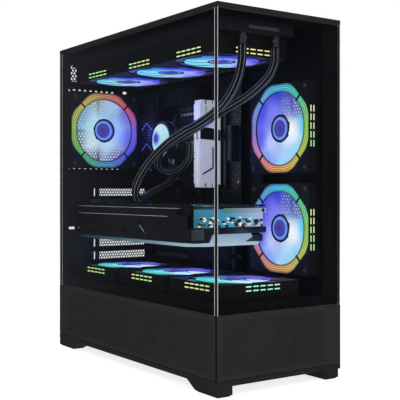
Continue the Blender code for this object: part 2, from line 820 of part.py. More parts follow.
def make_power_supply():
    body = block("power_supply", SUPPLY_LOW, SUPPLY_HIGH, SUPPLY_BLACK, 0.0015)
    middle = [(a + b) / 2 for a, b in zip(SUPPLY_LOW, SUPPLY_HIGH)]
    rear = SUPPLY_HIGH[1]
    half = (0.0095, 0.0075)
    carve(
        body,
        cut_drum((middle[0], middle[1], SUPPLY_LOW[2]), SUPPLY_FAN_TIP + 0.003, 0.052),
        cut_block(
            (INLET_LOW[0], rear - 0.016, INLET_LOW[1]),
            (INLET_HIGH[0], rear + 0.010, INLET_HIGH[1]),
        ),
        cut_block(
            (SWITCH[0] - half[0], rear - 0.010, SWITCH[1] - half[1]),
            (SWITCH[0] + half[0], rear + 0.010, SWITCH[1] + half[1]),
        ),
    )
    rotor = rotor_mesh(
        "supply_rotor", 0.021, SUPPLY_FAN_TIP, FAN_BLADES, -0.009, 0.009, 0.6, BLACK_PLASTIC
    )
    thing = add_object("power_supply_rotor", rotor, BLACK_PLASTIC, PARTS)
    thing.location = put(middle[0], middle[1], SUPPLY_LOW[2] + 0.014)
    thing.rotation_euler = FACING["down"]
    block(
        "power_supply_switch",
        (SWITCH[0] - 0.0085, rear - 0.0070, SWITCH[1] - 0.0065),
        (SWITCH[0] + 0.0085, rear - 0.0005, SWITCH[1] + 0.0065),
        BLACK_PLASTIC,
        0.0008,
    )


CAGE_LOW = (0.030, 0.030, 0.0157)
CAGE_HIGH = (0.1475, 0.175, 0.0985)


def make_drive_cage():
    cage = block("drive_cage", CAGE_LOW, CAGE_HIGH, BLACK_STEEL)
    inner_low = (CAGE_LOW[0] + SHEET, 0.0, CAGE_LOW[2] + SHEET)
    inner_high = (CAGE_HIGH[0] - SHEET, 0.2, CAGE_HIGH[2] - SHEET)
    carve(cage, cut_block(inner_low, inner_high))
    low = (inner_low[0] + 0.001, CAGE_LOW[1] + 0.003, inner_low[2] + GAP)
    high = (inner_high[0] - 0.001, CAGE_HIGH[1] - 0.003, inner_low[2] + 0.028)
    tray = block("drive_tray", low, high, BLACK_PLASTIC, 0.001)
    wall = 0.003
    room_low = (low[0] + wall, low[1] + 0.008, low[2] + 0.002)
    room_high = (high[0] - wall, high[1] + 0.010, high[2] + 0.010)
    carve(tray, cut_block(room_low, room_high))


def main():
    make_base()
    make_chassis_floor()
    make_rear_wall()
    make_motherboard_tray()
    make_psu_shroud()
    make_top_frame()
    make_front_pillar()
    make_glass()
    make_lower_panels()
    make_right_panel()
    make_top_cover()
    make_filters()
    make_controls()
    make_fans()
    make_radiator()
    make_hose("hose_outer", OUTER_HOSE)
    make_hose("hose_inner", INNER_HOSE)
    make_pump()
    make_motherboard()
    make_memory()
    make_board_heatsinks()
    make_graphics_card()
    make_slot_covers()
    make_power_supply()
    make_drive_cage()


main()
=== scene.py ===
"""Desktop computer tower with a glass side and front, nine lit fans and liquid cooling.

Every piece is built in case coordinates in metres: x from the left face, y from the front face
and z up from the floor. Shape.done() moves a finished piece to its place in the row frame.
"""

import math
import random

import bmesh
import bpy
from bpy.props import FloatProperty, FloatVectorProperty, IntProperty, PointerProperty
from bpy.types import Operator, Panel, PropertyGroup
from mathutils import Matrix, Vector


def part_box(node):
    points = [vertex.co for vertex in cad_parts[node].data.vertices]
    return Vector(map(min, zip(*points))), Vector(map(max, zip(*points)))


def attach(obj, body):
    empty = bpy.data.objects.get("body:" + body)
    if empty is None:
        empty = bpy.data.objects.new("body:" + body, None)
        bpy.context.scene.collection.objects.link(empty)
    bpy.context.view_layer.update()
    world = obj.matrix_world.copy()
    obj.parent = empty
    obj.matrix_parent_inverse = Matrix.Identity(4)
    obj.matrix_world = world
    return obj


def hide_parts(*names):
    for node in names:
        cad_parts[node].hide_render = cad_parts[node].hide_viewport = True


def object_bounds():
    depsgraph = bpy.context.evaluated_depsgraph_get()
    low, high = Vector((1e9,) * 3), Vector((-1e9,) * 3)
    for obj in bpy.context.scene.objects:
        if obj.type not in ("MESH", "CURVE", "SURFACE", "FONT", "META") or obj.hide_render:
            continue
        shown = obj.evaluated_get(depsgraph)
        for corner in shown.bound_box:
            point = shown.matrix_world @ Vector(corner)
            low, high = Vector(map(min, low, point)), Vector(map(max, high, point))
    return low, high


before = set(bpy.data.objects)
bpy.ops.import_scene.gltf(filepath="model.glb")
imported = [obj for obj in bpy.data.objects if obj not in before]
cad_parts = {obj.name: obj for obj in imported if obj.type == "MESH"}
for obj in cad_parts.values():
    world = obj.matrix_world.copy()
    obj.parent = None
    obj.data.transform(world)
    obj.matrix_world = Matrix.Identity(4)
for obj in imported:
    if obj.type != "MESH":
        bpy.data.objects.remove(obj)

bl_info = {
    "name": "Desktop Computer Tower",
    "version": (1, 0, 0),
    "blender": (4, 5, 0),
    "location": "View3D > Sidebar > Tower",
    "description": "Builds the visible pieces of a desktop computer tower round its packed frame",
    "category": "Add Mesh",
}

CASE_LOW, CASE_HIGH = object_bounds()
CASE_SHIFT = Vector((CASE_LOW.x, CASE_LOW.y, 0.0))
HAIR = 0.0002  # the least step between faces that lie on each other
HEX_RISE = math.sqrt(3) / 2  # height of a honeycomb's row for a pitch of 1
KEEP_ALL = 9.0  # a keep radius that drops nothing
SCREW_REACH = 0.0525  # from a case fan's middle to its screws, across and up
REAR_FAN = (0.066, 0.338)
BOARD_FACE = 0.168
PUMP_MIDDLE = (0.3, 0.32)
RADIATOR_LOW, RADIATOR_HIGH = Vector((0.0112, 0.027, 0.4333)), Vector((0.1308, 0.389, 0.456))
CARD_LOW, CARD_HIGH = Vector((0.028, 0.092, 0.168)), Vector((0.1505, 0.4175, 0.2205))


def node_box(node):
    """Lowest and highest corner of a frame node, in case coordinates."""
    low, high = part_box(node)
    return low - CASE_SHIFT, high - CASE_SHIFT


def mixed(first, last, share):
    """Each value a share, 0 to 1, of the way from the first to the last."""
    return tuple(a + (b - a) * share for a, b in zip(first, last))


def linear(red, green, blue):
    """A screen colour, 0 to 255, as the linear values that shaders use."""
    return tuple(
        value / 12.92 if value <= 0.04045 else ((value + 0.055) / 1.055) ** 2.4
        for value in (red / 255, green / 255, blue / 255)
    )


# ---------------------------------------------------------------- node trees


class Nodes:
    """Adds nodes to a tree. An input takes a value, or another node's output to link."""

    def __init__(self, tree):
        self.tree = tree

    def node(self, kind, inputs=None, **settings):
        node = self.tree.nodes.new(kind)
        for key, value in settings.items():
            setattr(node, key, value)
        for key, value in (inputs or {}).items():
            if isinstance(value, bpy.types.NodeSocket):
                self.tree.links.new(value, node.inputs[key])
            else:
                node.inputs[key].default_value = value
        return node

    def add(self, kind, inputs=None, out=0, **settings):
        return self.node(kind, inputs, **settings).outputs[out]

    def math(self, operation, first, second=0.0):
        kind = "ShaderNodeMath"
        return self.add(kind, {0: first, 1: second}, operation=operation)

    def ramp(self, factor, stops):
        """A colour that runs through (position, colour) stops."""
        node = self.node("ShaderNodeValToRGB", {"Fac": factor})
        elements = node.color_ramp.elements
        while len(elements) < len(stops):
            elements.new(0.5)
        for element, (position, colour) in zip(elements, stops):
            element.position = position
            element.color = (*colour, 1.0)
        return node.outputs["Color"]

    def spread(self, factor, low, high):
        return self.add("ShaderNodeMapRange", {"Value": factor, "To Min": low, "To Max": high})


# ---------------------------------------------------------------- finishes


def new_finish(name):
    material = bpy.data.materials.new(name)
    material.use_nodes = True
    material.node_tree.nodes.clear()
    return material, Nodes(material.node_tree)


def close_finish(nodes, shader):
    nodes.node("ShaderNodeOutputMaterial", {"Surface": shader})


def shades(colour, amount):
    """The darker and the lighter end of a colour's variation."""
    return tuple(c * (1 - amount) for c in colour), tuple(min(1, c * (1 + amount)) for c in colour)


def surface(name, colour, roughness, metallic=0.0, grain=900.0, stretch=(1, 1, 1), shade=0.22,
            relief=0.00012, coat=0.0, glow=0.0):
    """Paint, moulded plastic or brushed metal: a fine grain over broad, soft blotches."""
    material, nodes = new_finish(name)
    place = nodes.add("ShaderNodeTexCoord", out="Object")
    place = nodes.add("ShaderNodeMapping", {"Vector": place, "Scale": stretch})
    fine = nodes.add("ShaderNodeTexNoise", {"Vector": place, "Scale": grain, "Detail": 3.0})
    broad = nodes.add("ShaderNodeTexNoise", {"Vector": place, "Scale": grain / 36, "Detail": 2.0})
    both = nodes.math("ADD", nodes.math("MULTIPLY", fine, 0.55), nodes.math("MULTIPLY", broad, 0.45))
    dark, light = shades(colour, shade)
    base = nodes.ramp(both, ((0.3, dark), (0.7, light)))
    normal = nodes.add("ShaderNodeBump", {"Height": fine, "Distance": relief, "Strength": 0.5})
    shader = nodes.add("ShaderNodeBsdfPrincipled", {
        "Base Color": base,
        "Metallic": metallic,
        "Roughness": nodes.spread(broad, max(0.02, roughness - 0.08), min(1.0, roughness + 0.08)),
        "Normal": normal,
        "Coat Weight": coat,
        "Coat Roughness": 0.08,
        "Emission Color": (*colour, 1.0),
        "Emission Strength": glow,
    })
    close_finish(nodes, shader)
    return material


def lamp_plastic(name, strength, base=(0.03, 0.03, 0.035), sheen=0.35):
    """Frosted plastic lit from inside: each point's own glow colour, let through by its alpha."""
    material, nodes = new_finish(name)
    colour = nodes.node("ShaderNodeAttribute", attribute_name="glow")
    place = nodes.add("ShaderNodeTexCoord", out="Object")
    cloud = nodes.add("ShaderNodeTexNoise", {"Vector": place, "Scale": 55.0, "Detail": 2.0})
    frost = nodes.add("ShaderNodeTexNoise", {"Vector": place, "Scale": 1400.0, "Detail": 1.0})
    normal = nodes.add("ShaderNodeBump", {"Height": frost, "Distance": 0.0001, "Strength": 0.3})
    shader = nodes.add("ShaderNodeBsdfPrincipled", {
        "Base Color": (*base, 1.0),
        "Roughness": sheen,
        "Normal": normal,
        "Emission Color": colour.outputs["Color"],
        "Emission Strength": nodes.spread(cloud, strength * 0.86, strength * 1.14),
    })
    clear = nodes.add("ShaderNodeBsdfTransparent")
    shader = nodes.add("ShaderNodeMixShader", {0: colour.outputs["Alpha"], 1: clear, 2: shader})
    close_finish(nodes, shader)
    return material


def glass(name, tint):
    """Grey-tinted toughened glass. Both faces of a pane tint what is behind them."""
    material, nodes = new_finish(name)
    place = nodes.add("ShaderNodeTexCoord", out="Object")
    wave = nodes.add("ShaderNodeTexNoise", {"Vector": place, "Scale": 6.0, "Detail": 1.0})
    clear = nodes.add("ShaderNodeBsdfTransparent", {
        "Color": nodes.ramp(wave, ((0.35, shades(tint, 0.015)[0]), (0.65, tint))),
    })
    shine = nodes.add("ShaderNodeBsdfGlossy", {"Color": (0.8, 0.85, 1.0, 1.0), "Roughness": 0.03})
    slant = nodes.math("POWER", nodes.add("ShaderNodeLayerWeight", {"Blend": 0.5}, out="Facing"), 5.0)
    rim = nodes.math("ADD", nodes.math("MULTIPLY", slant, 0.8), 0.02)
    close_finish(nodes, nodes.add("ShaderNodeMixShader", {0: rim, 1: clear, 2: shine}))
    return material


def braided_sleeve(name, dark, light, strands, pitch):
    """Two sets of strands wound against each other along a hose, over lengthwise ribs whose light crests are
    painted highlights. UV: round the hose, metres along it.
    """
    material, nodes = new_finish(name)
    uv = nodes.add("ShaderNodeUVMap")
    across = nodes.node("ShaderNodeSeparateXYZ", {0: uv})
    turn = nodes.math("MULTIPLY", across.outputs["X"], strands)
    along = nodes.math("MULTIPLY", across.outputs["Y"], 1 / pitch)
    right = nodes.math("SINE", nodes.math("MULTIPLY", nodes.math("ADD", turn, along), math.tau))
    left = nodes.math("SINE", nodes.math("MULTIPLY", nodes.math("SUBTRACT", turn, along), math.tau))
    weave = nodes.math("MAXIMUM", right, left)
    rib = nodes.math("SINE", nodes.math("MULTIPLY", across.outputs["X"], math.tau * 7))
    height = nodes.math("ADD", nodes.math("MULTIPLY", weave, 0.22), rib)
    # Light at the rib crests: painted highlights along the hose, over the weave's own pattern.
    base = nodes.ramp(nodes.spread(height, 0.0, 1.0), ((0.62, dark), (1.0, light)))
    normal = nodes.add("ShaderNodeBump", {"Height": height, "Distance": 0.0004, "Strength": 0.8})
    close_finish(nodes, nodes.add("ShaderNodeBsdfPrincipled", {
        "Base Color": base,
        "Roughness": 0.38,
        "Specular IOR Level": 0.6,
        "Normal": normal,
    }))
    return material


def laminate(name, colour, trace):
    """A circuit board: solder mask over squared-off copper traces, with small silver pads."""
    material, nodes = new_finish(name)
    place = nodes.add("ShaderNodeTexCoord", out="Object")
    cells = nodes.add("ShaderNodeTexVoronoi", {"Vector": place, "Scale": 230.0}, out="Distance",
                      distance="CHEBYCHEV")
    lines = nodes.math("PINGPONG", nodes.math("MULTIPLY", cells, 3.0), 0.5)
    field = nodes.add("ShaderNodeTexNoise", {"Vector": place, "Scale": 30.0, "Detail": 1.0})
    copper = nodes.math("GREATER_THAN", nodes.math("ADD", lines, nodes.math("MULTIPLY", field, 0.5)), 0.62)
    pads = nodes.math("LESS_THAN", nodes.add(
        "ShaderNodeTexVoronoi", {"Vector": place, "Scale": 160.0}, out="Distance"), 0.13)
    base = nodes.ramp(copper, ((0.0, colour), (1.0, trace)))
    base = nodes.add("ShaderNodeMixRGB", {0: pads, 1: base, 2: (0.32, 0.33, 0.36, 1.0)})
    normal = nodes.add("ShaderNodeBump", {"Height": copper, "Distance": 0.0001, "Strength": 0.6})
    close_finish(nodes, nodes.add("ShaderNodeBsdfPrincipled", {
        "Base Color": base,
        "Roughness": 0.38,
        "Metallic": nodes.math("MULTIPLY", pads, 0.8),
        "Normal": normal,
    }))
    return material


class Finishes:
    """The tower's materials, made from the settings the first time that each is asked for."""

    def __init__(self):
        self.made = {}

    def __getattr__(self, name):
        if name not in self.made:
            self.made[name] = RECIPES[name](bpy.context.scene)
        return self.made[name]


FINISH = Finishes()
BRUSHED = (1, 1, 40)
RECIPES = {
    "steel": lambda s: surface("powder_coated_steel", s.tower_case.steel_colour, 0.55, 0.2, 1600),
    "inner_steel": lambda s: surface("inner_steel", s.tower_case.inner_colour, 0.5, 0.3, 1500),
    "panel": lambda s: surface("panel_paint", s.tower_case.panel_colour, 0.5, 0.1, 1800),
    # A near-black sheet that paints shade: behind the lower panels' holes, in the ports' hollows and in the
    # jacks' holes.
    "panel_liner": lambda s: surface("panel_liner", (0.006, 0.006, 0.0065), 0.8, 0.0, 700),
    "trim": lambda s: surface("satin_trim_plastic", s.tower_case.trim_colour, 0.42, 0.0, 1300),
    "gloss": lambda s: surface("gloss_black", (0.006, 0.006, 0.007), 0.12, 0.0, 500, coat=0.6),
    "glass": lambda s: glass("tinted_glass", s.tower_case.glass_tint),
    # Light grey with a faint glow: a painted highlight on the panes' edges where they meet.
    "glass_edge": lambda s: surface("glass_edge_painted_highlight", (0.5, 0.52, 0.55), 0.3, 0.0, 700, coat=0.5,
                                    glow=0.08),
    "glass_rim": lambda s: surface("ground_glass_rim", (0.07, 0.075, 0.08), 0.4, 0.0, 700, coat=0.2),
    "print": lambda s: surface("black_glass_print", (0.0035, 0.0035, 0.004), 0.35, 0.0, 600),
    "rubber": lambda s: surface("rubber", (0.012, 0.012, 0.012), 0.85, 0.0, 1200, relief=0.0002),
    "fan_frame": lambda s: surface("fan_plastic", (0.006, 0.006, 0.0065), 0.65, 0.0, 1100),
    "fan_light": lambda s: lamp_plastic("lit_ring", s.tower_fans.ring_strength),
    "fan_blade": lambda s: lamp_plastic("frosted_blade", s.tower_fans.blade_strength),
    "dash_light": lambda s: lamp_plastic("lit_dashes", s.tower_fans.dash_strength),
    "radiator": lambda s: surface("radiator_paint", (0.016, 0.017, 0.02), 0.45, 0.4, 900),
    "fins": lambda s: surface("radiator_fins", (0.03, 0.032, 0.038), 0.4, 0.7, 1400),
    "sleeve": lambda s: braided_sleeve(
        "braided_sleeve", (0.004, 0.004, 0.005), s.tower_cooling.rib_highlight_colour, 12, 0.0042),
    "nickel": lambda s: surface("nickel", (0.6, 0.61, 0.64), 0.22, 1.0, 900, BRUSHED, 0.15),
    "pump_cap": lambda s: lamp_plastic("pump_glow", s.tower_cooling.pump_strength),
    "board": lambda s: laminate("board_laminate", s.tower_board.board_colour, (0.018, 0.022, 0.03)),
    "connector": lambda s: surface("connector_plastic", (0.011, 0.011, 0.013), 0.4, 0.0, 900),
    "grey_plastic": lambda s: surface("grey_plastic", (0.06, 0.062, 0.07), 0.45, 0.0, 900),
    "gold": lambda s: surface("gold_contact", (0.75, 0.52, 0.2), 0.25, 1.0, 900),
    "solder": lambda s: surface("solder", (0.55, 0.56, 0.58), 0.3, 0.9, 700),
    # The white covers glow faintly though they hold no lamp: painted light that keeps them bright.
    "memory": lambda s: surface("white_anodised_painted_glow", s.tower_board.memory_colour, 0.35, 0.1, 1100,
                                (1, 1, 12), 0.06, glow=0.42),
    "sink": lambda s: surface("heatsink_metal", s.tower_board.sink_colour, 0.32, 0.75, 1300, BRUSHED),
    "sink_light": lambda s: lamp_plastic("heatsink_lines", 1.0),
    "card": lambda s: surface("card_shroud", (0.012, 0.012, 0.014), 0.3, 0.1, 1200, coat=0.3),
    "card_metal": lambda s: surface("card_metal", (0.06, 0.062, 0.068), 0.28, 0.85, 1300, (30, 1, 1)),
    # The card holds no lamps here: this glow paints the fans' light falling on its skirt and open end.
    "card_light": lambda s: lamp_plastic("card_painted_light", s.tower_card.painted_glow_strength),
    "supply": lambda s: surface("supply_steel", (0.014, 0.014, 0.015), 0.5, 0.3, 1500),
    # Pale print with a faint glow: painted light that keeps it brighter than the light it gets.
    "white_print": lambda s: surface("pale_print_painted_glow", (0.5, 0.55, 0.62), 0.5, 0.0, 700, glow=0.12),
    "spark": lambda s: surface("lit_small_parts", (0.85, 0.78, 0.66), 0.4, 0.0, 900, glow=0.55),
    "port_blue": lambda s: surface("port_blue", (0.02, 0.12, 0.5), 0.4, 0.0, 700),
    "copper": lambda s: surface("copper", (0.65, 0.3, 0.16), 0.3, 1.0, 900),
}


# ---------------------------------------------------------------- shapes

PLANES = {
    "XY": (Vector((1, 0, 0)), Vector((0, 1, 0)), Vector((0, 0, 1))),
    "XZ": (Vector((1, 0, 0)), Vector((0, 0, 1)), Vector((0, -1, 0))),
    "YZ": (Vector((0, 1, 0)), Vector((0, 0, 1)), Vector((1, 0, 0))),
}
ACROSS = {"XY": 2, "XZ": 1, "YZ": 0}
TURNS = {
    "X": Matrix.Rotation(math.pi / 2, 4, "Y"),
    "Y": Matrix.Rotation(-math.pi / 2, 4, "X"),
    "Z": Matrix.Identity(4),
}


def plane_matrix(plane, level):
    """Takes (u, v, w) to case coordinates: u and v in the plane, w outwards from level."""
    right, up, out = PLANES[plane]
    matrix = Matrix((right, up, out)).transposed().to_4x4()
    shift = Vector()
    shift[ACROSS[plane]] = level
    return Matrix.Translation(shift) @ matrix


def mesh_of(thing):
    """The evaluated mesh of a helper object, which is then removed."""
    bpy.context.scene.collection.objects.link(thing)
    bpy.context.view_layer.update()
    graph = bpy.context.evaluated_depsgraph_get()
    mesh = bpy.data.meshes.new_from_object(thing.evaluated_get(graph))
    bpy.data.objects.remove(thing)
    return mesh


def circle(u, v, radius, sides=48, start=0.0):
    return [
        (u + radius * math.cos(start + math.tau * i / sides),
         v + radius * math.sin(start + math.tau * i / sides))
        for i in range(sides)
    ]


def oblong(u0, v0, u1, v1, corner=0.0, steps=5):
    """A rectangle with rounded corners."""
    if corner <= 0:
        return [(u0, v0), (u1, v0), (u1, v1), (u0, v1)]
    points = []
    centres = ((u1 - corner, v1 - corner), (u0 + corner, v1 - corner),
               (u0 + corner, v0 + corner), (u1 - corner, v0 + corner))
    for quarter, (u, v) in enumerate(centres):
        for i in range(steps + 1):
            angle = math.pi / 2 * (quarter + i / steps)
            points.append((u + corner * math.cos(angle), v + corner * math.sin(angle)))
    return points


class Shape:
    """Collects solids into one piece, each with its own finish and, where it is lit, its glow."""

    def __init__(self):
        self.bm = bmesh.new()
        self.finishes = []
        self.glow = self.bm.verts.layers.float_color.new("glow")
        self.bm.loops.layers.uv.new("UVMap")

    def take(self, mesh, finish, matrix=None, glow=None, smooth=False):
        """Adds a mesh, then removes it. glow(point) gives the colour and opacity of a lit point."""
        if matrix is not None:
            mesh.transform(matrix)
        if finish not in self.finishes:
            self.finishes.append(finish)
        slot = self.finishes.index(finish)
        faces, points = len(self.bm.faces), len(self.bm.verts)
        self.bm.from_mesh(mesh)
        bpy.data.meshes.remove(mesh)
        self.bm.faces.ensure_lookup_table()
        for face in self.bm.faces[faces:]:
            face.material_index = slot
            face.smooth = smooth
        if glow:
            self.bm.verts.ensure_lookup_table()
            for point in self.bm.verts[points:]:
                point[self.glow] = glow(point.co)
        return self

    def build(self, make, finish, matrix=None, glow=None, smooth=False):
        """Adds what make(bm) draws."""
        bm = bmesh.new()
        make(bm)
        mesh = bpy.data.meshes.new("part")
        bm.to_mesh(mesh)
        bm.free()
        return self.take(mesh, finish, matrix, glow, smooth)

    def box(self, low, high, finish, edge=0.0, matrix=None, glow=None, edge_finish=None):
        low, high = Vector(low), Vector(high)
        edge_slot = None
        if edge_finish:
            if edge_finish not in self.finishes:
                self.finishes.append(edge_finish)
            edge_slot = self.finishes.index(edge_finish)
        start = len(self.bm.faces)

        def make(bm):
            place = Matrix.Translation((low + high) / 2) @ Matrix.Diagonal((*(high - low), 1))
            bmesh.ops.create_cube(bm, size=1, matrix=place)
            if edge:
                bmesh.ops.bevel(bm, geom=bm.edges[:], offset=edge, segments=2, profile=0.5, affect="EDGES")

        self.build(make, finish, matrix, glow)
        if edge_slot is not None:
            for face in self.bm.faces[start:]:
                face.normal_update()
                if max(abs(value) for value in face.normal) < 0.999:
                    face.material_index = edge_slot
        return self

    def drum(self, middle, radius, length, axis, finish, sides=32, edge=0.0):
        def make(bm):
            bmesh.ops.create_cone(bm, cap_ends=True, segments=sides, radius1=radius,
                                  radius2=radius, depth=length,
                                  matrix=Matrix.Translation(middle) @ TURNS[axis])
            if edge:
                rims = [e for e in bm.edges if any(len(f.verts) > 4 for f in e.link_faces)]
                bmesh.ops.bevel(bm, geom=rims, offset=edge, segments=2, profile=0.5, affect="EDGES")

        return self.build(make, finish)

    def turned(self, profile, finish, matrix=None, sides=48, glow=None, start=0.0):
        """A profile of (radius, height) points turned about the local Z axis."""
        def make(bm):
            rings = []
            for radius, height in profile:
                count = sides if radius > 1e-6 else 1
                rings.append([
                    bm.verts.new((radius * math.cos(start + math.tau * i / sides),
                                  radius * math.sin(start + math.tau * i / sides), height))
                    for i in range(count)
                ])
            for first, second in zip(rings, rings[1:]):
                for i in range(sides):
                    j = (i + 1) % sides
                    corners = [first[i % len(first)], first[j % len(first)],
                               second[j % len(second)], second[i % len(second)]]
                    unique = list(dict.fromkeys(corners))
                    if len(unique) > 2:
                        bm.faces.new(unique)
            bmesh.ops.recalc_face_normals(bm, faces=bm.faces[:])

        return self.build(make, finish, matrix, glow, smooth=True)

    def plate(self, outlines, plane, low, high, finish, edge=0.0, matrix=None, glow=None):
        """A flat plate between two levels. The first outline is its rim, the others are holes."""
        curve = bpy.data.curves.new("outline", "CURVE")
        curve.dimensions = "2D"
        curve.fill_mode = "BOTH"
        curve.extrude = (high - low) / 2 - edge
        curve.bevel_depth = edge
        curve.bevel_resolution = 0
        curve.offset = -edge
        for outline in outlines:
            spline = curve.splines.new("POLY")
            spline.points.add(len(outline) - 1)
            for point, (u, v) in zip(spline.points, outline):
                point.co = (u, v, 0, 1)
            spline.use_cyclic_u = True
        mesh = mesh_of(bpy.data.objects.new("plate", curve))
        bpy.data.curves.remove(curve)
        place = plane_matrix(plane, (low + high) / 2)
        return self.take(mesh, finish, matrix @ place if matrix else place, glow)

    def sweep(self, points, radius, finish, sides=12, matrix=None, glow=None):
        """A round tube along points, with capped ends. Its UV runs round it and, in metres, along it."""
        points = [Vector(p) for p in points]
        bm = bmesh.new()
        uv = bm.loops.layers.uv.new("UVMap")
        side = None
        rings, lengths = [], []
        walked = 0.0
        for i, point in enumerate(points):
            ahead = (points[min(i + 1, len(points) - 1)] - points[max(i - 1, 0)]).normalized()
            if side is None:
                side = ahead.orthogonal().normalized()
            side = (side - ahead * side.dot(ahead)).normalized()
            other = ahead.cross(side)
            if i:
                walked += (point - points[i - 1]).length
            rings.append([
                bm.verts.new(point + (side * math.cos(a) + other * math.sin(a)) * radius)
                for a in (math.tau * k / sides for k in range(sides))
            ])
            lengths.append(walked)
        for i in range(len(rings) - 1):
            for k in range(sides):
                j = (k + 1) % sides
                face = bm.faces.new((rings[i][k], rings[i][j], rings[i + 1][j], rings[i + 1][k]))
                turns = (k / sides, (k + 1) / sides, (k + 1) / sides, k / sides)
                along = (lengths[i], lengths[i], lengths[i + 1], lengths[i + 1])
                for loop, u, v in zip(face.loops, turns, along):
                    loop[uv].uv = (u, v)
        bm.faces.new(rings[0][::-1])
        bm.faces.new(rings[-1])
        mesh = bpy.data.meshes.new("tube")
        bm.to_mesh(mesh)
        bm.free()
        return self.take(mesh, finish, matrix, glow, smooth=True)

    def done(self, name, body="root", replaces=(), slot=None):
        """Makes the piece's object, in place, riding on a body of the frame."""
        mesh = bpy.data.meshes.new(name)
        self.bm.transform(Matrix.Translation(CASE_SHIFT))
        self.bm.to_mesh(mesh)
        self.bm.free()
        for finish in self.finishes:
            mesh.materials.append(finish)
        mesh.set_sharp_from_angle(angle=math.radians(35))
        piece = bpy.data.objects.new(name, mesh)
        bpy.context.scene.collection.objects.link(piece)
        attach(piece, body)
        if replaces:
            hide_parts(*replaces)
        return piece


def dress(finish, *nodes):
    """Gives frame nodes whose shape is already right their finish."""
    for name in nodes:
        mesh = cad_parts[name].data
        mesh.materials.clear()
        mesh.materials.append(finish)


# ---------------------------------------------------------------- repeated shapes


def new_tree(name, inputs):
    """A geometry tree with named inputs, its group input node and the nodes adder."""
    tree = bpy.data.node_groups.new(name, "GeometryNodeTree")
    tree.interface.new_socket("Geometry", in_out="INPUT", socket_type="NodeSocketGeometry")
    for label, kind in inputs:
        tree.interface.new_socket(label, in_out="INPUT", socket_type="NodeSocket" + kind)
    tree.interface.new_socket("Geometry", in_out="OUTPUT", socket_type="NodeSocketGeometry")
    nodes = Nodes(tree)
    return tree, nodes, nodes.node("NodeGroupInput").outputs


def end_tree(nodes, points, given, rotation=(0.0, 0.0, 0.0)):
    """Copies the unit to every point, makes the copies real and gives them their finish."""
    unit = nodes.add("GeometryNodeObjectInfo", {"Object": given["Unit"]}, out="Geometry")
    copies = nodes.add("GeometryNodeInstanceOnPoints",
                       {"Points": points, "Instance": unit, "Rotation": rotation})
    real = nodes.add("GeometryNodeRealizeInstances", {"Geometry": copies})
    painted = nodes.add("GeometryNodeSetMaterial", {"Geometry": real, "Material": given["Finish"]})
    nodes.node("NodeGroupOutput", {"Geometry": painted})


def grid_tree():
    """Copies in columns and rows. Odd rows are shifted, and copies outside the radius are dropped."""
    tree, nodes, given = new_tree("grid_of_copies", (
        ("Unit", "Object"), ("Finish", "Material"), ("Columns", "Int"), ("Rows", "Int"),
        ("Column Pitch", "Float"), ("Row Pitch", "Float"), ("Row Shift", "Float"), ("Keep Radius", "Float"),
    ))
    grid = nodes.add("GeometryNodeMeshGrid", {
        "Vertices X": given["Columns"],
        "Vertices Y": given["Rows"],
        "Size X": nodes.math("MULTIPLY", nodes.math("SUBTRACT", given["Columns"], 1), given["Column Pitch"]),
        "Size Y": nodes.math("MULTIPLY", nodes.math("SUBTRACT", given["Rows"], 1), given["Row Pitch"]),
    })
    points = nodes.add("GeometryNodeMeshToPoints", {"Mesh": grid, "Radius": 0.0})
    row = nodes.math("MODULO", nodes.add("GeometryNodeInputIndex"), given["Rows"])
    odd = nodes.math("SUBTRACT", nodes.math("MODULO", row, 2), 0.5)
    shift = nodes.add("ShaderNodeCombineXYZ", {"X": nodes.math("MULTIPLY", odd, given["Row Shift"])})
    moved = nodes.add("GeometryNodeSetPosition", {"Geometry": points, "Offset": shift})
    reach = nodes.add("ShaderNodeVectorMath", {0: nodes.add("GeometryNodeInputPosition")},
                      out="Value", operation="LENGTH")
    outside = nodes.add("FunctionNodeCompare", {0: reach, 1: given["Keep Radius"]},
                        operation="GREATER_THAN", data_type="FLOAT")
    kept = nodes.add("GeometryNodeDeleteGeometry", {"Geometry": moved, "Selection": outside}, domain="POINT")
    end_tree(nodes, kept, given)
    return tree


def ring_tree():
    """Copies round a circle, each turned to face outwards."""
    tree, nodes, given = new_tree("ring_of_copies", (
        ("Unit", "Object"), ("Finish", "Material"), ("Count", "Int"), ("Radius", "Float"), ("Start", "Float"),
    ))
    share = nodes.math("DIVIDE", nodes.add("GeometryNodeInputIndex"), given["Count"])
    angle = nodes.math("ADD", nodes.math("MULTIPLY", share, math.tau), given["Start"])
    place = nodes.add("ShaderNodeCombineXYZ", {
        "X": nodes.math("MULTIPLY", nodes.math("COSINE", angle), given["Radius"]),
        "Y": nodes.math("MULTIPLY", nodes.math("SINE", angle), given["Radius"]),
    })
    points = nodes.add("GeometryNodePoints", {"Count": given["Count"], "Position": place})
    end_tree(nodes, points, given, nodes.add("ShaderNodeCombineXYZ", {"Z": angle}))
    return tree


def places_tree():
    """A copy on every vertex of the base mesh."""
    tree, nodes, given = new_tree("copies_at_places", (("Unit", "Object"), ("Finish", "Material")))
    points = nodes.add("GeometryNodeMeshToPoints", {"Mesh": given["Geometry"], "Radius": 0.0})
    end_tree(nodes, points, given)
    return tree


TREES = {}
TREE_MAKERS = {"grid": grid_tree, "ring": ring_tree, "places": places_tree}


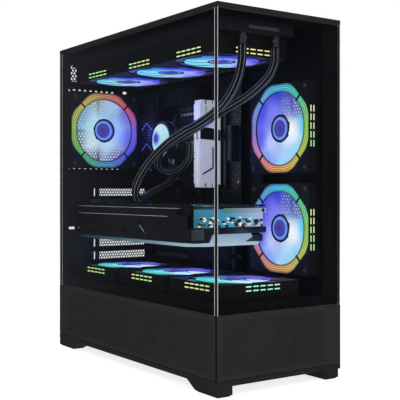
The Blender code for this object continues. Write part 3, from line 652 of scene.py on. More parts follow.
def grow(kind, unit, finish, places=(), **values):
    """The plain mesh of a tree's copies of a unit Shape."""
    if kind not in TREES:
        TREES[kind] = TREE_MAKERS[kind]()
    tree = TREES[kind]
    unit_mesh = bpy.data.meshes.new("unit")
    unit.bm.to_mesh(unit_mesh)
    unit_object = bpy.data.objects.new("unit", unit_mesh)
    bpy.context.scene.collection.objects.link(unit_object)
    base = bpy.data.meshes.new("base")
    base.from_pydata([tuple(p) for p in places], [], [])
    holder = bpy.data.objects.new("holder", base)
    modifier = holder.modifiers.new("copies", "NODES")
    modifier.node_group = tree
    given = {"Unit": unit_object, "Finish": finish}
    given.update({key.replace("_", " ").title(): value for key, value in values.items()})
    for item in tree.interface.items_tree:
        if item.in_out == "INPUT" and item.name in given:
            modifier[item.identifier] = given[item.name]
    mesh = mesh_of(holder)
    bpy.data.objects.remove(unit_object)
    bpy.data.meshes.remove(unit_mesh)
    return mesh


def cell(outer, inner, depth, back=True):
    """A unit of perforated sheet: a hole's walls and the sheet round it. Its copies get the finish."""
    def make(bm):
        levels = []
        for outline, height in ((outer, 0.0), (inner, 0.0), (inner, -depth), (outer, -depth)):
            levels.append([bm.verts.new((u, v, height)) for u, v in outline])
        count = len(outer)
        for first, second in zip(levels, levels[1:] if back else levels[1:3]):
            for i in range(count):
                j = (i + 1) % count
                bm.faces.new((first[i], first[j], second[j], second[i]))

    return Shape().build(make, None)


def hex_cell(pitch, hole, depth):
    outer = circle(0, 0, pitch / math.sqrt(3), 6, math.pi / 6)
    return cell(outer, circle(0, 0, hole / 2, 6, math.pi / 6), depth)


def square_cell(pitch, hole, depth):
    half = pitch / 2
    outer = [(half, 0), (half, half), (0, half), (-half, half), (-half, 0), (-half, -half), (0, -half),
             (half, -half)]
    return cell(outer, circle(0, 0, hole / 2, 8), depth, back=False)


def hex_field(shape, plane, level, centre, columns, rows, pitch, hole, depth, finish, radius=KEEP_ALL):
    """Fills a flat opening with a honeycomb of holes."""
    mesh = grow("grid", hex_cell(pitch, hole, depth), finish, columns=columns, rows=rows, column_pitch=pitch,
                row_pitch=pitch * HEX_RISE, row_shift=pitch / 2, keep_radius=radius)
    place = plane_matrix(plane, level) @ Matrix.Translation((*centre, 0))
    shape.take(mesh, finish, place)


def screw_unit(radius, height):
    """A pan-head screw facing local +Z, with a cross recess."""
    unit = Shape()
    unit.turned(((radius, 0), (radius, height * 0.5), (radius * 0.7, height * 0.92), (0, height)),
                FINISH.nickel, sides=12)
    arm, thin = radius * 0.55, radius * 0.14
    unit.box((-arm, -thin, height * 0.8), (arm, thin, height * 1.06), FINISH.nickel)
    unit.box((-thin, -arm, height * 0.8), (thin, arm, height * 1.06), FINISH.nickel)
    return unit


def screws(shape, places, plane, level, radius=0.0028, height=0.0016, finish=None, inward=False):
    """Screw heads at (u, v) places of a plane."""
    finish = finish or FINISH.nickel
    mesh = grow("places", screw_unit(radius, height), finish, [(u, v, 0) for u, v in places])
    place = plane_matrix(plane, level)
    if inward:
        place = place @ Matrix.Diagonal((1, 1, -1, 1))
        mesh.flip_normals()
    shape.take(mesh, finish, place, smooth=True)


def row_of(shape, unit, finish, start, step, count, glow=None):
    """Copies of a unit on a straight line of places."""
    start, step = Vector(start), Vector(step)
    mesh = grow("places", unit, finish, [start + step * i for i in range(count)])
    shape.take(mesh, finish, glow=glow)


def block_unit(size, edge=0.0):
    half = Vector(size) / 2
    return Shape().box(-half, half, None, edge)


# ---------------------------------------------------------------- settings


def colour_setting(name, description, default):
    return FloatVectorProperty(
        name=name, description=description, subtype="COLOR", size=3, min=0, max=1, default=default)


def length_setting(name, description, default):
    return FloatProperty(name=name, description=description, unit="LENGTH", min=0, default=default)


class CaseSettings(PropertyGroup):
    steel_colour: colour_setting("Steel", "Powder coat of the outer steel", (0.019, 0.019, 0.021))
    inner_colour: colour_setting("Inner steel", "Powder coat inside the case", (0.0065, 0.0068, 0.008))
    panel_colour: colour_setting("Lower panels", "Paint of the perforated panels", (0.026, 0.026, 0.028))
    trim_colour: colour_setting("Trim", "Moulded base and top cover", (0.017, 0.017, 0.018))
    glass_tint: colour_setting("Glass tint", "What one face of a pane lets through", (0.91, 0.915, 0.93))
    hole_pitch: length_setting("Hole pitch", "Spacing of the lower panels' holes", 0.0024)
    hole_size: length_setting("Hole size", "Width of the lower panels' holes", 0.0012)
    vent_pitch: length_setting("Vent pitch", "Spacing of the rear wall's honeycomb", 0.0052)
    vent_hole: length_setting("Vent hole", "Width of the honeycomb's holes", 0.0042)


class FanSettings(PropertyGroup):
    blades: IntProperty(name="Blades", description="Blades of each case fan", min=3, max=15, default=7)
    ring_strength: FloatProperty(name="Ring light", description="Brightness of the rings", default=1.15)
    blade_strength: FloatProperty(name="Blade light", description="Brightness of the blades", default=1.12)
    dash_strength: FloatProperty(name="Dash light", description="Brightness of the edge dashes", default=1.3)
    dash_row: length_setting("Dash row", "Length of a row of dashes", 0.056)


class CoolingSettings(PropertyGroup):
    # The light colour of the rib crests is a painted highlight.
    rib_highlight_colour: colour_setting("Sleeve", "Ribs of the hoses' sleeve", (0.22, 0.22, 0.23))
    fin_pitch: length_setting("Fin pitch", "Spacing of the radiator's fins", 0.0036)
    pump_strength: FloatProperty(name="Pump light", description="Brightness of the pump head", default=1.1)


class BoardSettings(PropertyGroup):
    board_colour: colour_setting("Board", "Solder mask of the boards", (0.006, 0.007, 0.01))
    memory_colour: colour_setting("Memory", "Covers of the memory sticks", (0.75, 0.75, 0.8))
    sink_colour: colour_setting("Heatsinks", "Metal of the board's heatsinks", (0.02, 0.022, 0.04))


class CardSettings(PropertyGroup):
    # Sets the painted light on the card's skirt and open end.
    painted_glow_strength: FloatProperty(name="Card light", description="Brightness of the card's lights",
                                 default=0.9)


class StageSettings(PropertyGroup):
    floor_colour: colour_setting("Floor", "Pale studio floor", (0.9, 0.9, 0.9))
    lens: FloatProperty(name="Lens", description="Focal length on a 36 mm sensor, in mm", default=75.45)
    light_power: FloatProperty(name="Light", description="Power of the large soft light, in W", default=6.0)


# ---------------------------------------------------------------- stage

CAMERA_PLACE = (-0.6691, -0.997, 0.2399)
CAMERA_LOOK = (0.5707, 0.8212, 0.0)
CAMERA_SHIFT_Y = -0.01925
WORLD_ON_PAINT = 0.3  # how brightly the white surroundings light a diffuse surface
WORLD_IN_GLOSS = 0.07  # how brightly they show in a glossy one
FLOOR_GLOW = 0.8


def soft_light(name, place, target, size, power, colour=(1, 1, 1)):
    light = bpy.data.lights.new(name, "AREA")
    light.shape = "RECTANGLE"
    light.size, light.size_y = size
    light.energy = power
    light.color = colour
    thing = bpy.data.objects.new(name, light)
    thing.location = place
    thing.rotation_euler = (Vector(target) - Vector(place)).to_track_quat("-Z", "Y").to_euler()
    thing.visible_glossy = False
    bpy.context.scene.collection.objects.link(thing)


def inner_light(name, place, power, colour, radius=0.01):
    """A small coloured light inside the case, at a case coordinate."""
    light = bpy.data.lights.new(name, "POINT")
    light.energy = power
    light.color = colour
    light.shadow_soft_size = radius
    thing = bpy.data.objects.new(name, light)
    thing.location = Vector(place) + CASE_SHIFT
    bpy.context.scene.collection.objects.link(thing)


class TOWER_OT_stage(Operator):
    """Adds the camera, the floor, the soft studio light and the tower's own small lights"""

    bl_idname = "tower.stage"
    bl_label = "Stage"

    def execute(self, context):
        settings = context.scene.tower_stage
        context.scene.view_settings.view_transform = "Standard"
        camera = bpy.data.cameras.new("camera")
        camera.lens = settings.lens
        camera.sensor_width = 36
        camera.shift_y = CAMERA_SHIFT_Y
        camera.clip_start = 0.01
        thing = bpy.data.objects.new("camera", camera)
        thing.location = CAMERA_PLACE
        thing.rotation_euler = Vector(CAMERA_LOOK).to_track_quat("-Z", "Y").to_euler()
        context.scene.collection.objects.link(thing)
        context.scene.camera = thing

        self.make_world(context.scene)
        self.make_floor(settings.floor_colour)
        power = settings.light_power
        soft_light("key", (-1.3, -1.1, 1.3), (0, 0, 0.15), (1.0, 1.0), power)
        soft_light("front", (0.9, -1.6, 0.6), (0, 0, 0.1), (1.0, 1.0), power * 0.8)
        soft_light("overhead", (0, 0.1, 1.6), (0, 0, 0.4), (1.2, 1.2), power * 0.7)
        inner_light("upper_blue", (0.1, 0.24, 0.36), 0.045, (0.1, 0.16, 1.0), 0.02)
        inner_light("rear_blue", (0.11, 0.375, 0.335), 0.08, (0.12, 0.15, 1.0))
        inner_light("side_blue", (0.115, 0.16, 0.3), 0.03, (0.1, 0.2, 1.0))
        inner_light("card_cyan", (0.07, 0.06, 0.225), 0.03, (0.35, 0.8, 1.0))
        inner_light("lower_blue", (0.09, 0.2, 0.145), 0.06, (0.12, 0.25, 1.0), 0.02)
        return {"FINISHED"}

    @staticmethod
    def make_world(scene):
        """White behind the object, dim in what it lights and reflects."""
        world = bpy.data.worlds.new("studio")
        scene.world = world
        world.use_nodes = True
        world.node_tree.nodes.clear()
        nodes = Nodes(world.node_tree)
        path = nodes.node("ShaderNodeLightPath")
        seen = nodes.math("MULTIPLY", path.outputs["Is Camera Ray"], 1.0)
        lit = nodes.math("MULTIPLY", path.outputs["Is Diffuse Ray"], WORLD_ON_PAINT)
        shone = nodes.math("MULTIPLY", path.outputs["Is Glossy Ray"], WORLD_IN_GLOSS)
        strength = nodes.math("ADD", seen, nodes.math("ADD", lit, shone))
        back = nodes.add("ShaderNodeBackground", {"Color": (1, 1, 1, 1), "Strength": strength})
        nodes.node("ShaderNodeOutputWorld", {"Surface": back})

    @staticmethod
    def make_floor(colour):
        mesh = bpy.data.meshes.new("floor")
        bm = bmesh.new()
        bmesh.ops.create_grid(bm, x_segments=1, y_segments=1, size=6)
        bm.to_mesh(mesh)
        bm.free()
        material, nodes = new_finish("studio_floor")
        place = nodes.add("ShaderNodeTexCoord", out="Object")
        cloud = nodes.add("ShaderNodeTexNoise", {"Vector": place, "Scale": 3.0})
        dark, light = shades(colour, 0.02)
        close_finish(nodes, nodes.add("ShaderNodeBsdfPrincipled", {
            "Base Color": nodes.ramp(cloud, ((0.3, dark), (0.7, light))),
            "Roughness": 0.9,
            "Emission Color": (1, 1, 1, 1),
            "Emission Strength": FLOOR_GLOW,
        }))
        mesh.materials.append(material)
        floor = bpy.data.objects.new("floor", mesh)
        bpy.context.scene.collection.objects.link(floor)
        floor.visible_glossy = False


# ---------------------------------------------------------------- hoses

HOSE_RADIUS = 0.0055
OUTER_HOSE = (
    (0.052, 0.02, 0.419), (0.052, 0.02, 0.4095), (0.0518, 0.0205, 0.4), (0.051, 0.0245, 0.384),
    (0.05, 0.034, 0.368), (0.05, 0.053, 0.352), (0.05, 0.078, 0.34), (0.05, 0.108, 0.33),
    (0.048, 0.14, 0.321), (0.043, 0.168, 0.309), (0.033, 0.187, 0.292), (0.024, 0.2, 0.274),
    (0.018, 0.21, 0.256), (0.019, 0.219, 0.241), (0.027, 0.228, 0.2325), (0.04, 0.238, 0.2315),
    (0.056, 0.25, 0.236), (0.074, 0.264, 0.2405), (0.093, 0.279, 0.2445), (0.112, 0.2905, 0.2495),
    (0.1265, 0.299, 0.2555), (0.1338, 0.3042, 0.2645), (0.135, 0.305, 0.2735), (0.135, 0.305, 0.283),
)
INNER_HOSE = (
    (0.104, 0.02, 0.419), (0.104, 0.02, 0.4095), (0.1037, 0.021, 0.4), (0.1015, 0.029, 0.386),
    (0.098, 0.047, 0.373), (0.094, 0.069, 0.3615), (0.09, 0.091, 0.353), (0.086, 0.113, 0.345),
    (0.081, 0.15, 0.331), (0.0785, 0.184, 0.32), (0.0795, 0.212, 0.313), (0.083, 0.24, 0.306),
    (0.089, 0.266, 0.299), (0.096, 0.285, 0.289), (0.104, 0.2945, 0.2785), (0.1135, 0.2915, 0.2715),
    (0.121, 0.278, 0.2705), (0.126, 0.262, 0.277), (0.1282, 0.249, 0.289), (0.1285, 0.2455, 0.301),
    (0.1285, 0.2455, 0.3125),
)


def smooth_route(points, step):
    """Points about one step apart on the smooth curve through a route's own points."""
    knots = [2 * Vector(points[0]) - Vector(points[1])] + [Vector(p) for p in points]
    knots.append(2 * knots[-1] - knots[-2])
    fine = []
    for a, b, c, d in zip(knots, knots[1:], knots[2:], knots[3:]):
        for i in range(12):
            t = i / 12
            curve = 2 * b + (c - a) * t
            curve += (2 * a - 5 * b + 4 * c - d) * t * t
            curve += (3 * b - a - 3 * c + d) * t**3
            fine.append(curve / 2)
    fine.append(knots[-2])
    length = sum((q - p).length for p, q in zip(fine, fine[1:]))
    count = round(length / step)
    route, walked = [fine[0]], 0.0
    for p, q in zip(fine, fine[1:]):
        piece = (q - p).length
        while walked + piece >= length / count * len(route) - 1e-9 and len(route) < count:
            route.append(p.lerp(q, (length / count * len(route) - walked) / piece))
        walked += piece
    route.append(fine[-1])
    return route


class TOWER_OT_hoses(Operator):
    """Builds the two braided coolant hoses between the radiator and the pump"""

    bl_idname = "tower.hoses"
    bl_label = "Coolant hoses"

    def execute(self, context):
        for name, points in (("hose_outer", OUTER_HOSE), ("hose_inner", INNER_HOSE)):
            route = smooth_route(points, 0.003)
            shape = Shape().sweep(route, HOSE_RADIUS, FINISH.sleeve, sides=20)
            piece = shape.done(f"{name}_sleeve", replaces=[name], slot="hose_sleeve")
            path = [p + CASE_SHIFT for p in route]
            length = sum((q - p).length for p, q in zip(path, path[1:]))
            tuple(path[0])
        return {"FINISHED"}


# ---------------------------------------------------------------- case


def print_border(u0, v0, u1, v1, widths, corner):
    """The outline of a printed border that leaves the pane's near edge clear: far side, bottom and top."""
    far, bottom, top = widths
    inset = 0.001
    inner = []
    for u, v, turn in ((u1 - far - corner, v0 + bottom + corner, 1.5), (u1 - far - corner, v1 - top - corner,
                                                                        0.0)):
        for i in range(6):
            angle = math.pi * (turn + 0.5 * i / 5)
            inner.append((u + corner * math.cos(angle), v + corner * math.sin(angle)))
    return [
        (u0 + inset, v0 + bottom), *inner, (u0 + inset, v1 - top), (u0 + inset, v1 - inset),
        (u1 - inset, v1 - inset), (u1 - inset, v0 + inset), (u0 + inset, v0 + inset),
    ]


STRIP = 0.0008  # the strip on each pane at the corner where they meet, light grey with a faint glow: a painted highlight
BEVEL = 0.0004  # the ground edge of a pane


class TOWER_OT_glass(Operator):
    """Builds the two glass panes with their ground edges, a painted highlight strip on each where they meet,
    and printed borders
    """

    bl_idname = "tower.glass"
    bl_label = "Glass panes"

    def execute(self, context):
        low, high = node_box("side_glass")
        shape = Shape()
        shape.box(low, high, FINISH.glass, BEVEL, edge_finish=FINISH.glass_rim)
        border = print_border(low.y, low.z, high.y, high.z, (0.0235, 0.0145, 0.0085), 0.003)
        shape.plate([border], "YZ", high.x, high.x + HAIR, FINISH.print)
        shape.box((low.x + BEVEL, high.y - 2 * BEVEL, low.z + BEVEL), (high.x - BEVEL, high.y - 0.0006,
                                                                       high.z - BEVEL),
                  FINISH.print)
        # The side pane's front edge strip: a painted highlight.
        shape.box((low.x - HAIR, low.y, low.z + BEVEL), (low.x, low.y + STRIP, high.z - BEVEL),
                  FINISH.glass_edge)
        shape.done("side_pane", "side_glass", ["side_glass"], "tinted_glass")

        low, high = node_box("front_glass")
        shape = Shape()
        shape.box(low, high, FINISH.glass, BEVEL, edge_finish=FINISH.glass_rim)
        border = print_border(low.x, low.z, high.x, high.z, (0.0265, 0.0135, 0.0085), 0.004)
        shape.plate([border], "XZ", high.y, high.y + HAIR, FINISH.print)
        shape.box((high.x - 2 * BEVEL, low.y + BEVEL, low.z + BEVEL), (high.x - 0.0006, high.y - BEVEL,
                                                                       high.z - BEVEL),
                  FINISH.print)
        # Black on the front pane's near end face: print, and painted shade for the gap beside it, as one dark
        # band.
        shape.box((low.x - HAIR, low.y + 0.0005, low.z), (low.x, high.y, high.z), FINISH.print)
        # The front pane's near edge strip: a painted highlight.
        shape.box((low.x, low.y - HAIR, low.z + BEVEL), (low.x + STRIP, low.y, high.z - BEVEL),
                  FINISH.glass_edge)
        shape.done("front_pane", "front_glass", ["front_glass"], "tinted_glass")
        return {"FINISHED"}


class TOWER_OT_lower_panels(Operator):
    """Builds the perforated steel panels below the glass, each with a dark sheet behind its holes: painted
    shade for the inside seen through them
    """

    bl_idname = "tower.lower_panels"
    bl_label = "Lower panels"

    def execute(self, context):
        for node, plane, margins in (
            ("lower_side_panel", "YZ", (0.008, 0.0245)),
            ("lower_front_panel", "XZ", (0.008, 0.0275)),
        ):
            self.make_panel(context.scene.tower_case, node, plane, margins)
        return {"FINISHED"}

    @staticmethod
    def make_panel(settings, node, plane, margins):
        low, high = node_box(node)
        along = 1 if plane == "YZ" else 0
        across = 1 - along
        start, end = low[along], high[along]
        pitch = settings.hole_pitch
        columns = int((end - start - sum(margins)) / pitch)
        rows = int((high.z - low.z - 0.009) / pitch)
        left = end - margins[1] - columns * pitch
        bottom = (low.z + high.z - rows * pitch) / 2
        field = (left, bottom, left + columns * pitch, bottom + rows * pitch)
        skin = 0.0006
        shape = Shape()
        shape.plate([oblong(start, low.z, end, high.z), oblong(*field)], plane,
                    low[across], low[across] + skin, FINISH.panel)
        mesh = grow("grid", square_cell(pitch, settings.hole_size, skin * 0.9), FINISH.panel,
                    columns=columns, rows=rows, column_pitch=pitch, row_pitch=pitch, row_shift=0.0,
                    keep_radius=KEEP_ALL)
        middle = ((field[0] + field[2]) / 2, (field[1] + field[3]) / 2)
        place = plane_matrix(plane, low[across]) @ Matrix.Translation((*middle, 0))
        if plane == "YZ":
            place = place @ Matrix.Diagonal((1, 1, -1, 1))
            mesh.flip_normals()
        shape.take(mesh, FINISH.panel, place)
        # A dark box behind the holes: painted shade for the inside of the case seen through them.
        back_low = Vector(low)
        back_low[across] += skin
        shape.box(back_low, high, FINISH.panel_liner)
        shape.done(f"{node}_skin", node, [node], "panel_steel")


LOWER_SLOTS = (0.118, 0.1385, 0.1588)  # heights of the free expansion slots below and above the card
UPPER_SLOT = 0.24
# Openings of the rear wall: least x and z, greatest x and z
PORT_WINDOW = (0.1299, 0.2569, 0.1689, 0.4076)
CARD_WINDOW = (0.0565, 0.1705, 0.1605, 0.2288)
SUPPLY_WINDOW = (0.034, 0.024, 0.168, 0.096)
CORNER_VENT = (0.0185, 0.4155, 0.0395, 0.4415)
CABLE_HOLE = (0.1125, 0.3985, 0.1195, 0.4055)
LATCH_SLOT = (0.0125, 0.1815, 0.0255, 0.1855)
LATCH_HOLE = (0.0315, 0.182, 0.036, 0.185)
SMALL_HOLES_PITCH = 0.0098


class TOWER_OT_rear_wall(Operator):
    """Builds the rear wall with its fan grille, vents, slots and the rear fan's screws"""

    bl_idname = "tower.rear_wall"
    bl_label = "Rear wall"

    def execute(self, context):
        settings = context.scene.tower_case
        low, high = node_box("rear_wall")
        front = high.y - 0.0012
        fan_x, fan_z = REAR_FAN
        pitch, hole = settings.vent_pitch, settings.vent_hole
        outlines = [
            oblong(low.x, low.z, high.x, high.z),
            circle(fan_x, fan_z, 0.0545),
            oblong(*PORT_WINDOW, 0.001),
            *(oblong(0.0565, z - 0.0076, 0.1605, z + 0.0076, 0.001) for z in (*LOWER_SLOTS, UPPER_SLOT)),
            oblong(*CARD_WINDOW, 0.001),
            oblong(*SUPPLY_WINDOW),
            oblong(*CORNER_VENT),
            oblong(*CABLE_HOLE),
            oblong(*LATCH_SLOT, 0.0015),
            oblong(*LATCH_HOLE, 0.001),
        ]
        outlines += [circle(0.0145 + SMALL_HOLES_PITCH * i, 0.401, 0.0027, 16) for i in range(9)]
        outlines += [circle(0.0145 + SMALL_HOLES_PITCH * i, 0.2795, 0.0026, 16) for i in range(10)]
        shape = Shape()
        shape.plate(outlines, "XZ", front, high.y, FINISH.steel)
        hex_field(shape, "XZ", front + 0.0001, (fan_x, fan_z), 23, 27, pitch, hole, 0.001, FINISH.steel,
                  0.0565)
        hex_field(shape, "XZ", front + 0.0001, (0.029, 0.4285), 5, 7, pitch, hole, 0.001, FINISH.steel)
        flange = ((low.x, front - 0.009, 0.106), (low.x + 0.0011, front + 0.0006, high.z - 0.001))
        shape.box(*flange, FINISH.inner_steel)
        corners = [(fan_x + u, fan_z + v) for u in (-SCREW_REACH, SCREW_REACH) for v in (-SCREW_REACH,
                                                                                         SCREW_REACH)]
        screws(shape, corners, "XZ", high.y, 0.003, 0.0018, FINISH.fan_frame, inward=True)
        shape.done("rear_wall_sheet", "root", ["rear_wall"], "case_steel")
        return {"FINISHED"}


class TOWER_OT_case_shell(Operator):
    """Builds the top cover and right panel, and finishes the frame's own sheets, base and feet"""

    bl_idname = "tower.case_shell"
    bl_label = "Case shell"

    def execute(self, context):
        settings = context.scene.tower_case
        dress(FINISH.trim, "base_trim", "drive_tray")
        dress(FINISH.rubber, *(f"foot_pad_{end}_{side}" for end in ("front", "rear") for side in ("left",
                                                                                                  "right")))
        dress(FINISH.inner_steel, "chassis_floor", "motherboard_tray", "psu_shroud", "front_pillar",
              "top_frame")
        dress(FINISH.steel, "drive_cage")
        self.make_right_panel(settings)
        self.make_top_cover()
        return {"FINISHED"}

    @staticmethod
    def make_right_panel(settings):
        low, high = node_box("right_panel")
        shape = Shape()
        pitch, hole = settings.vent_pitch, settings.vent_hole
        columns, rows = 19, 22
        wide, tall = (columns - 0.5) * pitch, (rows - 1) * pitch * HEX_RISE
        middles = [(0.071, 0.192), (0.071, 0.325)]
        vents = [oblong(y - wide / 2, z - tall / 2, y + wide / 2, z + tall / 2) for y, z in middles]
        shape.plate([oblong(low.y, low.z, high.y, high.z, 0.001)] + vents, "YZ", low.x, high.x, FINISH.steel)
        for middle in middles:
            hex_field(shape, "YZ", high.x - 0.0001, middle, columns, rows, pitch, hole, 0.001, FINISH.steel)
        shape.done("right_panel_sheet", "right_panel", ["right_panel"], "case_steel")

    @staticmethod
    def make_top_cover():
        low, high = node_box("top_cover")
        filter_low, filter_high = node_box("top_filter")
        room = 0.0005
        opening = oblong(filter_low.x - room, filter_low.y - room, filter_high.x + room,
                         filter_high.y + room, 0.004)
        holes = [opening]
        for button in ("power_button", "reset_button"):
            near, far = node_box(button)
            middle = (near + far) / 2
            holes.append(circle(middle.x, middle.y, (far.x - near.x) / 2 + room))
        socket_x = 0.1863
        holes += [oblong(socket_x - 0.0077, y - 0.0039, socket_x + 0.0077, y + 0.0039,
                         0.001) for y in (0.052, 0.072)]
        holes.append(oblong(socket_x - 0.0052, 0.0876, socket_x + 0.0052, 0.0924, 0.002))
        shape = Shape()
        rim = oblong(low.x, low.y, high.x, high.y, 0.0012)
        shape.plate([rim] + holes, "XY", high.z - 0.0018, high.z, FINISH.trim, 0.0004)
        wall = oblong(low.x + 0.002, low.y + 0.002, high.x - 0.002, high.y - 0.002)
        shape.plate([rim, wall], "XY", low.z, high.z - 0.0016, FINISH.trim)
        shape.done("top_cover_shell", "root", ["top_cover"], "case_plastic")


class TOWER_OT_filters(Operator):
    """Builds the woven dust filters on the top and under the power supply"""

    bl_idname = "tower.filters"
    bl_label = "Dust filters"

    def execute(self, context):
        self.make_filter("top_filter", (0.007, 0.007), 0.0036)
        self.make_filter("bottom_filter", (0.008, 0.008), 0.0036)
        return {"FINISHED"}

    @staticmethod
    def make_filter(node, border, pitch):
        low, high = node_box(node)
        if node == "bottom_filter":
            low, high = Vector((0.035, 0.262, 0.0103)), Vector((0.165, 0.4145, 0.0119))
        shape = Shape()
        columns = int((high.x - low.x - 2 * border[0]) / pitch)
        rows = int((high.y - low.y - 2 * border[1]) / pitch)
        middle = (low + high) / 2
        half = (columns * pitch / 2, rows * pitch / 2)
        field = oblong(middle.x - half[0], middle.y - half[1], middle.x + half[0], middle.y + half[1])
        rim = oblong(low.x, low.y, high.x, high.y, 0.003)
        shape.plate([rim, field], "XY", low.z, high.z, FINISH.trim, 0.0003)
        mesh = grow("grid", square_cell(pitch, pitch * 0.72, 0.0006), FINISH.rubber, columns=columns,
                    rows=rows,
                    column_pitch=pitch, row_pitch=pitch, row_shift=0.0, keep_radius=KEEP_ALL)
        shape.take(mesh, FINISH.rubber, Matrix.Translation((middle.x, middle.y, high.z - 0.0003)))
        if node == "bottom_filter":
            shape.box((0.075, 0.4135, 0.0065), (0.125, 0.4185, 0.0117), FINISH.trim, 0.0008)
        shape.done(f"{node}_mesh", node, [node], "filter_mesh")


class TOWER_OT_controls(Operator):
    """Builds the power and reset buttons, and gives the board with the top sockets its finish"""

    bl_idname = "tower.controls"
    bl_label = "Buttons and sockets"

    def execute(self, context):
        for node in ("power_button", "reset_button"):
            low, high = node_box(node)
            middle = (low + high) / 2
            radius = (high.x - low.x) / 2
            tall = high.z - low.z
            shape = Shape()
            shape.turned(((0, 0), (radius, 0), (radius, tall - 0.0006), (radius - 0.0006, tall),
                          (radius * 0.55, tall - 0.0001), (radius * 0.5, tall - 0.0004), (0, tall - 0.0005)),
                         FINISH.gloss, Matrix.Translation((middle.x, middle.y, low.z)), 32)
            shape.done(f"{node}_cap", node, [node], "case_plastic")
        dress(FINISH.connector, "io_board")
        return {"FINISHED"}


# ---------------------------------------------------------------- fans

FAN_WAYS = {
    # direction that the fan faces, and its right as seen by someone facing it
    "side": (Vector((-1, 0, 0)), Vector((0, -1, 0))),
    "rear": (Vector((0, -1, 0)), Vector((1, 0, 0))),
    "top": (Vector((0, 0, -1)), Vector((1, 0, 0))),
    "bottom": (Vector((0, 0, 1)), Vector((1, 0, 0))),
}
FANS = ("top_front", "top_middle", "top_rear", "bottom_front", "bottom_middle", "bottom_rear",
        "side_lower", "side_upper", "rear")
# Ring colours clockwise from the top, one for each eighth of the ring
RING_COLOURS = {
    "side": ((30, 195, 230), (60, 215, 165), (140, 215, 60), (205, 205, 70), (235, 165, 75), (230, 120, 120),
             (140, 125, 225), (90, 165, 240)),
    "rear": ((205, 130, 60), (220, 70, 100), (110, 80, 230), (60, 70, 240), (40, 150, 190), (60, 200, 90),
             (150, 205, 60), (215, 195, 70)),
    "top": ((50, 130, 60), (60, 60, 220), (120, 40, 60), (190, 60, 70), (90, 60, 220), (50, 110, 200),
            (40, 110, 50), (60, 140, 60)),
    "bottom": ((60, 200, 190), (70, 120, 230), (110, 60, 190), (150, 90, 190), (60, 180, 190), (60, 190, 170),
               (70, 150, 60), (60, 170, 120)),
}
# Lights in the disc: right, up, colour and opacity, with the blade tips at 1
DISC_SPOTS = {
    "side": (
        (-0.1, 0.95, (45, 60, 215), 0.95), (-0.75, 0.5, (70, 75, 230), 0.95),
        (-0.8, -0.2, (95, 95, 240), 0.95),
        (-0.5, -0.75, (135, 165, 250), 0.95), (0.1, -0.9, (165, 215, 252), 0.95),
        (0.65, -0.6, (150, 220, 250), 0.95),
        (0.9, 0.0, (70, 205, 240), 0.95), (0.45, -0.1, (245, 252, 255), 0.98),
        (0.65, 0.55, (110, 130, 220), 0.55),
        (0.3, 0.75, (90, 100, 215), 0.65), (-0.3, -0.35, (190, 205, 255), 0.95),
        (-0.25, 0.3, (130, 130, 245), 0.95),
    ),
    "rear": (
        (-0.3, 0.9, (170, 200, 200), 0.55), (-0.8, 0.35, (130, 190, 235), 0.6),
        (-0.85, -0.3, (140, 180, 225), 0.3),
        (-0.3, -0.85, (160, 165, 215), 0.3), (0.35, -0.8, (130, 140, 235), 0.4),
        (0.85, -0.2, (110, 110, 235), 0.9),
        (0.75, 0.45, (125, 125, 235), 0.9), (0.25, 0.75, (170, 205, 240), 0.85),
        (-0.35, 0.15, (190, 238, 252), 0.97),
        (0.3, 0.1, (150, 200, 248), 0.95), (0.1, -0.4, (190, 225, 252), 0.9),
        (-0.4, -0.3, (215, 245, 255), 0.9),
    ),
    "top": (
        (-0.82, -0.57, (100, 220, 240), 0.97), (-0.45, -0.2, (150, 230, 250), 0.97),
        (0.0, 0.0, (180, 218, 255), 0.97),
        (0.45, -0.55, (160, 210, 252), 0.97), (0.4, 0.2, (170, 170, 250), 0.97),
        (0.82, 0.57, (80, 70, 225), 0.97),
        (-0.5, 0.8, (40, 55, 200), 0.97), (0.1, 0.97, (45, 48, 205), 0.97),
        (-0.88, 0.3, (45, 135, 225), 0.97),
        (-0.1, -0.9, (120, 215, 245), 0.97), (0.9, -0.3, (120, 130, 240), 0.97),
    ),
    "bottom": (
        (-0.82, 0.57, (60, 205, 195), 0.97), (-0.5, 0.0, (130, 230, 225), 0.97),
        (-0.1, -0.3, (205, 238, 252), 0.97),
        (0.1, -0.7, (200, 230, 255), 0.97), (0.45, 0.0, (125, 115, 245), 0.97),
        (0.82, -0.57, (80, 60, 220), 0.97),
        (0.5, 0.8, (42, 36, 170), 0.97), (-0.1, 0.95, (30, 90, 170), 0.97),
        (-0.85, -0.2, (70, 200, 190), 0.97),
    ),
}
# Which sides of a fan show dashes: toward local right or up, offset along the side, colours of its two ends
DASHES = {
    "top_front": (("-right", 0.012, (190, 255, 60), (220, 240, 60)), ("up", 0.004, (235, 235, 60),
                                                                      (245, 200, 50))),
    "top_middle": (("-right", 0.012, (120, 255, 70), (215, 245, 60)),),
    "top_rear": (("-right", 0.012, (90, 240, 90), (190, 250, 60)),),
    "bottom_front": (("-right", -0.004, (170, 245, 60), (240, 215, 60)),
                     ("-up", 0.0, (90, 240, 200), (130, 240, 170))),
    "bottom_middle": (("-right", -0.004, (150, 245, 60), (235, 215, 60)),),
    "bottom_rear": (("-right", -0.004, (90, 235, 90), (200, 235, 60)),),
    "side_lower": (("right", 0.0, (110, 235, 80), (215, 235, 60)),),
    "side_upper": (("right", 0.0, (110, 235, 80), (225, 230, 60)),),
    "rear": (),
}
RING_POWER = {"side": 1.0, "rear": 1.0, "top": 0.3, "bottom": 0.34}
